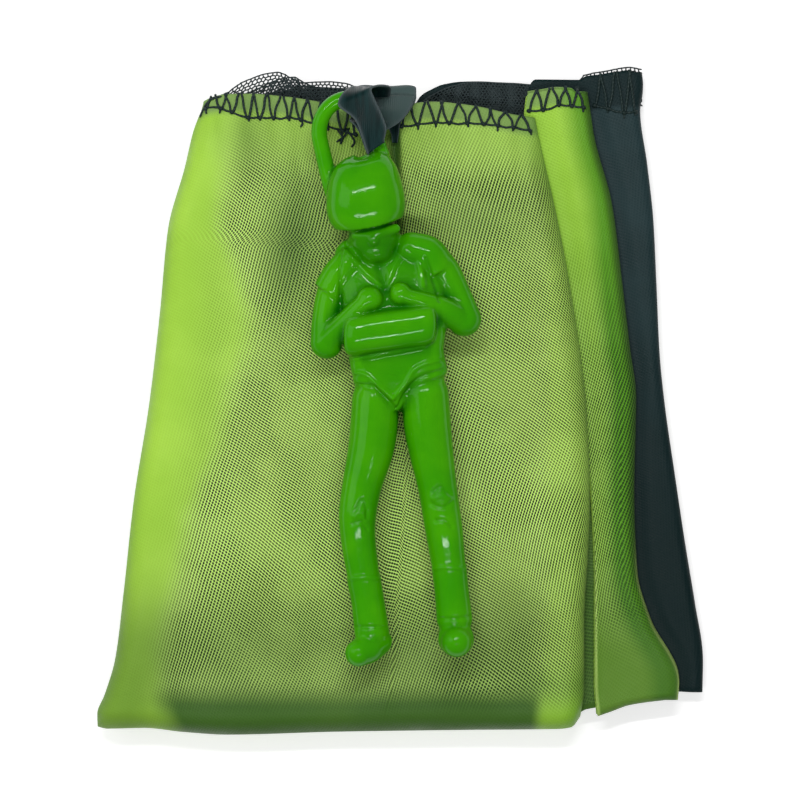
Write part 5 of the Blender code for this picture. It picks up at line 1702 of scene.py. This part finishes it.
class Jumper:
    """Builds the moulding's lumps from its share tables."""

    def __init__(self, settings):
        self.settings = settings
        self.eye = joint_places["figure_turn"]
        self.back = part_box("figure")[0].z
        self.vertices, self.faces = [], []

    def place(self, x, y, z):
        """Place in metres of a place in shares."""
        sizes = self.settings
        return Vector((
            self.eye.x + x * sizes.width, self.eye.y + y * sizes.height,
            self.back + z * sizes.depth,
        ))

    def loft(self, rings):
        """Skin over rings of points, closed at both ends."""
        count, first = len(rings[0]), len(self.vertices)
        for ring in rings:
            self.vertices += [tuple(point) for point in ring]
        top = len(self.vertices) - count
        for low in range(first, top, count):
            for i in range(count):
                j = (i + 1) % count
                self.faces.append((low + i, low + j, low + count + j, low + count + i))
        self.faces.append(tuple(range(first + count - 1, first - 1, -1)))
        self.faces.append(tuple(range(top, top + count)))

    def body(self, stations, squareness, lean=0.0, sag=0.0):
        """Body lofted through its stations; a small squareness gives square sections."""
        rings = []
        for y, left, right, back, front in smooth_path(stations, 4):
            low, high = self.place(left, y, back), self.place(right, y, front)
            middle = (low + high) / 2
            half_x, half_z = (high.x - low.x) / 2, (high.z - low.z) / 2
            ring = []
            for step in range(48):
                angle = 2 * math.pi * step / 48
                cos, sin = math.cos(angle), math.sin(angle)
                out = half_x * math.copysign(abs(cos) ** squareness, cos)
                rise = half_z * math.copysign(abs(sin) ** squareness, sin)
                ring.append(middle + Vector((out, lean * out + sag * (out / half_x) ** 2, rise)))
            rings.append(ring)
        self.loft(rings)

    def ball(self, centre, radii):
        """Ball or egg of three radii."""
        rings = []
        for rise in np.linspace(-0.49, 0.49, 17) * math.pi:
            out, up = math.cos(rise), math.sin(rise)
            rings.append([
                centre + Vector((
                    radii[0] * out * math.cos(turn), radii[1] * out * math.sin(turn),
                    radii[2] * up,
                )) for turn in np.linspace(0, 2 * math.pi, 29)[:-1]
            ])
        self.loft(rings)

    def limb(self, stations, radius, ends=2):
        """Round tapering limb with one or two ball ends, from rows of (x, y, z, radius share)."""
        rows = [(*self.place(x, y, z), share) for x, y, z, share in stations]
        path = smooth_path(rows, 8)
        rings = []
        for i, row in enumerate(path):
            way = Vector(path[min(i + 1, len(path) - 1)][:3] - path[max(i - 1, 0)][:3]).normalized()
            side = way.cross(Vector((0, 0, 1))).normalized()
            up = side.cross(way)
            ring = []
            for step in range(28):
                angle = 2 * math.pi * step / 28
                out = side * math.cos(angle) + up * math.sin(angle)
                ring.append(Vector(row[:3]) + out * radius * row[3])
            rings.append(ring)
        self.loft(rings)
        for i in (0, -1)[:ends]:
            self.ball(Vector(path[i][:3]), Vector((1, 1, 1)) * radius * path[i][3])

    def pillow(self, centre, half, squareness):
        """Soft-edged block; its sections shrink towards both ends."""
        stations = []
        for share in np.linspace(-1, 1, 11):
            full = (1 - abs(share) ** 4 * 0.97) ** 0.25
            stations.append((
                centre[1] + half[1] * share, centre[0] - half[0] * full, centre[0] + half[0] * full,
                centre[2] - half[2] * full, centre[2] + half[2] * full,
            ))
        self.body(stations, squareness, PACK_LEAN)

    def egg(self, centre, radii):
        """Ball whose radii are shares."""
        sizes = self.settings
        self.ball(self.place(*centre), Vector((
            radii[0] * sizes.width, radii[1] * sizes.height, radii[2] * sizes.depth,
        )))

    def eye_rod(self):
        """Rod of the eye: up from the helmet, round the ribbon and down again."""
        sizes = self.settings
        rod = list(EYE_LEG_LEFT)
        for angle in np.radians(np.linspace(194, -14, 19)):
            rod.append((
                EYE_SHIFT + math.cos(angle) * EYE_HALF_WIDTH / sizes.width,
                math.sin(angle) * EYE_RADIUS / sizes.height, 1.0,
            ))
        rod += EYE_LEG_RIGHT
        self.limb([(x, y, EYE_HEIGHT, radius) for x, y, radius in rod], EYE_ROD)

    def lumps(self):
        """Mesh of every lump of the moulding, not yet fused."""
        self.body(TORSO, 0.62)
        self.body(HIP, 0.70)
        self.body(HELMET, 0.80, HELMET_LEAN, HELMET_SAG)
        self.body(PACK, 0.42, PACK_LEAN)
        self.pillow(*BACK_PACK, 0.45)
        for centre, radii in EGGS:
            self.egg(centre, radii)
        for kind, stations in LIMBS:
            self.limb(stations, LIMB_RADII[kind])
        for sleeve in SLEEVES:
            self.limb(sleeve, 1.0, ends=1)
        self.eye_rod()
        for centre, radii in FISTS:
            self.ball(self.place(*centre), Vector(radii))
        mesh = new_mesh("jumper", self.vertices, self.faces)
        shell = bmesh.new()
        shell.from_mesh(mesh)
        bmesh.ops.recalc_face_normals(shell, faces=shell.faces)
        shell.to_mesh(mesh)
        shell.free()
        return mesh

    def press(self, mesh):
        """Moves the front of the moulding along its normals, smoothly along each line."""
        points, normals = points_and_normals(mesh)
        count = len(points)
        push = np.zeros(count)
        for height, width, line in LINES:
            path = smooth_path([self.place(x, y, 0) for x, y in line], 8)[:, :2]
            nearest = np.full(count, np.inf)
            for first, last in zip(path, path[1:]):
                way = last - first
                at = np.clip(((points[:, :2] - first) @ way) / (way @ way), 0, 1)
                gap = np.linalg.norm(points[:, :2] - first - at[:, None] * way, axis=1)
                nearest = np.minimum(nearest, gap)
            push += height * np.exp(-((nearest / width) ** 2))
        push *= np.clip(normals[:, 2] / 0.62, 0, 1)
        points += normals * push[:, None]
        mesh.vertices.foreach_set("co", points.reshape(-1))
        mesh.update()

    def hollows(self, mesh):
        """Painted shade: how far each place lies below the mean height of what is round it, from 0
        to 1, deepened over the face under the helmet's brim and fading where the surface turns
        sideways or down.
        """
        points, normals = points_and_normals(mesh)
        step, reach = 0.0003, 8
        low = points.min(axis=0)
        cell = ((points[:, :2] - low[:2]) / step).astype(int) + 2 * reach
        heights = np.zeros(cell.max(axis=0) + 2 * reach + 1)
        np.maximum.at(heights, (cell[:, 0], cell[:, 1]), points[:, 2] - low[2])
        ring = np.zeros_like(heights)
        for turn in np.linspace(0, 2 * math.pi, 24, endpoint=False):
            for far in (0.45 * reach, 0.75 * reach, reach):
                shift = (round(math.cos(turn) * far), round(math.sin(turn) * far))
                ring += np.roll(heights, shift, axis=(0, 1)) / 72
        below = ring[cell[:, 0], cell[:, 1]] - (points[:, 2] - low[2])
        recess = ease(below, -0.0006, 0.0014)
        # Painted shade over the face, under the helmet's brim.
        centre, (across, up) = FACE_SHADE
        face = self.place(*centre)
        across, up = across * self.settings.width, up * self.settings.height
        far = np.hypot((points[:, 0] - face.x) / across, (points[:, 1] - face.y) / up)
        under = 1 - ease(points[:, 2], face.z, face.z + 0.0012)
        recess = np.maximum(recess, 0.62 * np.exp(-far ** 4) * under)
        keep_values(mesh, recess=recess * ease(normals[:, 2], -0.1, 0.4))


def apply_modifiers(piece):
    """Replaces a piece's mesh by what its modifiers make of it."""
    graph = bpy.context.evaluated_depsgraph_get()
    made = bpy.data.meshes.new_from_object(piece.evaluated_get(graph))
    piece.modifiers.clear()
    old = piece.data
    piece.data = made
    bpy.data.meshes.remove(old)
    return made


def build_jumper():
    """Jumper: lumps fused into one skin and softened, then its lines pressed in and painted shade
    in its hollow places.
    """
    settings = bpy.context.scene.parachute_jumper
    jumper = Jumper(settings)
    piece = link_piece("jumper", jumper.lumps(), moulded_plastic())
    fuse = piece.modifiers.new("fuse", "REMESH")
    fuse.mode = "VOXEL"
    fuse.voxel_size = settings.grain
    soften = piece.modifiers.new("soften", "SMOOTH")
    soften.factor = 0.5
    soften.iterations = settings.soften_passes
    mesh = apply_modifiers(piece)
    jumper.press(mesh)
    jumper.hollows(mesh)
    mesh.shade_smooth()
    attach(piece, "parachutist")
    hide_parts("figure")


# Stage

LAMP_TARGET = Vector((0, 0, 0.01))
FLOOR_Z = -0.00005


def lamp(name, place, size, power):
    """White rectangular lamp that faces the bundle."""
    data = bpy.data.lights.new(name, "AREA")
    data.shape = "RECTANGLE"
    data.size, data.size_y = size
    data.energy = power
    holder = bpy.data.objects.new(name, data)
    bpy.context.scene.collection.objects.link(holder)
    holder.location = place
    holder.rotation_euler = (Vector(place) - LAMP_TARGET).to_track_quat("Z", "Y").to_euler()


def build_stage():
    """Floor, sky, lamps and the camera straight above the bundle."""
    scene = bpy.context.scene
    stage = scene.parachute_stage
    scene.view_settings.view_transform = "Standard"

    material, tree, shader = new_material("pale_floor", Roughness=0.9)
    shader.inputs["Base Color"].default_value = (*stage.floor_colour, 1)
    path = add_node(tree, "ShaderNodeLightPath")
    seen = figure_out(tree, "ADD", path.outputs["Is Camera Ray"], path.outputs["Is Glossy Ray"])
    seen = figure_out(tree, "ADD", seen, path.outputs["Is Transmission Ray"], clamp=True)
    glow = add_node(
        tree, "ShaderNodeEmission",
        {"Color": (1, 1, 1, 1), "Strength": figure_out(tree, "MULTIPLY", seen, stage.floor_glow)},
    )
    both = add_node(tree, "ShaderNodeAddShader", {0: shader.outputs[0], 1: glow.outputs[0]})
    tree.links.new(both.outputs[0], tree.nodes["Material Output"].inputs["Surface"])
    half = stage.floor_size / 2
    corners = [(-half, -half), (half, -half), (half, half), (-half, half)]
    mesh = new_mesh("floor", [(x, y, FLOOR_Z) for x, y in corners], [(0, 1, 2, 3)])
    floor = link_piece("floor", mesh, material)

    world = bpy.data.worlds.new("studio")
    scene.world = world
    world.use_nodes = True
    back = world.node_tree.nodes["Background"]
    back.inputs["Color"].default_value = (1, 1, 1, 1)
    back.inputs["Strength"].default_value = stage.sky

    lamp("far_strip", (-0.04, 0.27, 0.62), (0.42, 0.036), stage.key_power)
    lamp("near_strip", (0.02, -0.21, 0.64), (0.40, 0.030), stage.side_power)
    lamp("fill", (-0.52, 0.16, 0.46), (0.40, 0.50), stage.fill_power)

    camera = bpy.data.cameras.new("camera")
    camera.lens = stage.lens
    camera.sensor_width = 36.0
    camera.clip_start = 0.01
    holder = bpy.data.objects.new("camera", camera)
    scene.collection.objects.link(holder)
    reach = stage.lens / camera.sensor_width * stage.view_width
    holder.location = (0, 0, stage.view_height + reach)
    scene.camera = holder


class PARACHUTE_OT_green_canopy(Operator):
    """Build the green canopy cloth: front leaf, pleat and back leaf in one sheet"""

    bl_idname = "parachute.green_canopy"
    bl_label = "Green canopy"

    def execute(self, context):
        build_green_canopy()
        return {"FINISHED"}


class PARACHUTE_OT_black_canopy(Operator):
    """Build the black canopy cloth: the leaf at the right and the inner leaf"""

    bl_idname = "parachute.black_canopy"
    bl_label = "Black canopy"

    def execute(self, context):
        build_black_canopy()
        return {"FINISHED"}


class PARACHUTE_OT_net(Operator):
    """Build the net skirt along the hem"""

    bl_idname = "parachute.net"
    bl_label = "Net skirt"

    def execute(self, context):
        build_net()
        return {"FINISHED"}


class PARACHUTE_OT_threads(Operator):
    """Sew the overlocked hem threads"""

    bl_idname = "parachute.threads"
    bl_label = "Hem threads"

    def execute(self, context):
        build_threads()
        return {"FINISHED"}


class PARACHUTE_OT_ribbon(Operator):
    """Build the satin ribbon at the neck and through the eye"""

    bl_idname = "parachute.ribbon"
    bl_label = "Ribbon"

    def execute(self, context):
        build_ribbon()
        return {"FINISHED"}


class PARACHUTE_OT_jumper(Operator):
    """Build the moulded jumper"""

    bl_idname = "parachute.jumper"
    bl_label = "Jumper"

    def execute(self, context):
        build_jumper()
        return {"FINISHED"}


class PARACHUTE_OT_stage(Operator):
    """Set up the floor, lamps and camera"""

    bl_idname = "parachute.stage"
    bl_label = "Stage"

    def execute(self, context):
        build_stage()
        return {"FINISHED"}


OPERATORS = (
    PARACHUTE_OT_green_canopy, PARACHUTE_OT_black_canopy, PARACHUTE_OT_net,
    PARACHUTE_OT_threads, PARACHUTE_OT_ribbon, PARACHUTE_OT_jumper, PARACHUTE_OT_stage,
)
SETTINGS = {
    "parachute_cloth": ParachuteCloth, "parachute_trim": ParachuteTrim,
    "parachute_jumper": ParachuteJumper, "parachute_stage": ParachuteStage,
}


class PARACHUTE_PT_build(Panel):
    """Lists the pieces of the folded parachute and their settings"""

    bl_idname = "PARACHUTE_PT_build"
    bl_label = "Folded Parachute"
    bl_space_type = "VIEW_3D"
    bl_region_type = "UI"
    bl_category = "Parachute"

    def draw(self, context):
        for operator in OPERATORS:
            self.layout.operator(operator.bl_idname)
        for holder, group in SETTINGS.items():
            box = self.layout.box()
            for name in group.__annotations__:
                box.prop(getattr(context.scene, holder), name)


def register():
    """Adds the settings, the operators and the panel."""
    for group in SETTINGS.values():
        bpy.utils.register_class(group)
    for name, group in SETTINGS.items():
        setattr(bpy.types.Scene, name, PointerProperty(type=group))
    for operator in OPERATORS:
        bpy.utils.register_class(operator)
    bpy.utils.register_class(PARACHUTE_PT_build)


def unregister():
    """Takes away what register adds."""
    bpy.utils.unregister_class(PARACHUTE_PT_build)
    for operator in reversed(OPERATORS):
        bpy.utils.unregister_class(operator)
    for name in SETTINGS:
        delattr(bpy.types.Scene, name)
    for group in reversed(list(SETTINGS.values())):
        bpy.utils.unregister_class(group)


def main():
    """Builds every piece and the stage."""
    register()
    bpy.ops.parachute.green_canopy()
    bpy.ops.parachute.black_canopy()
    bpy.ops.parachute.net()
    bpy.ops.parachute.threads()
    bpy.ops.parachute.ribbon()
    bpy.ops.parachute.jumper()
    bpy.ops.parachute.stage()
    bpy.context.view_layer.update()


if __name__ == "__main__":
    main()
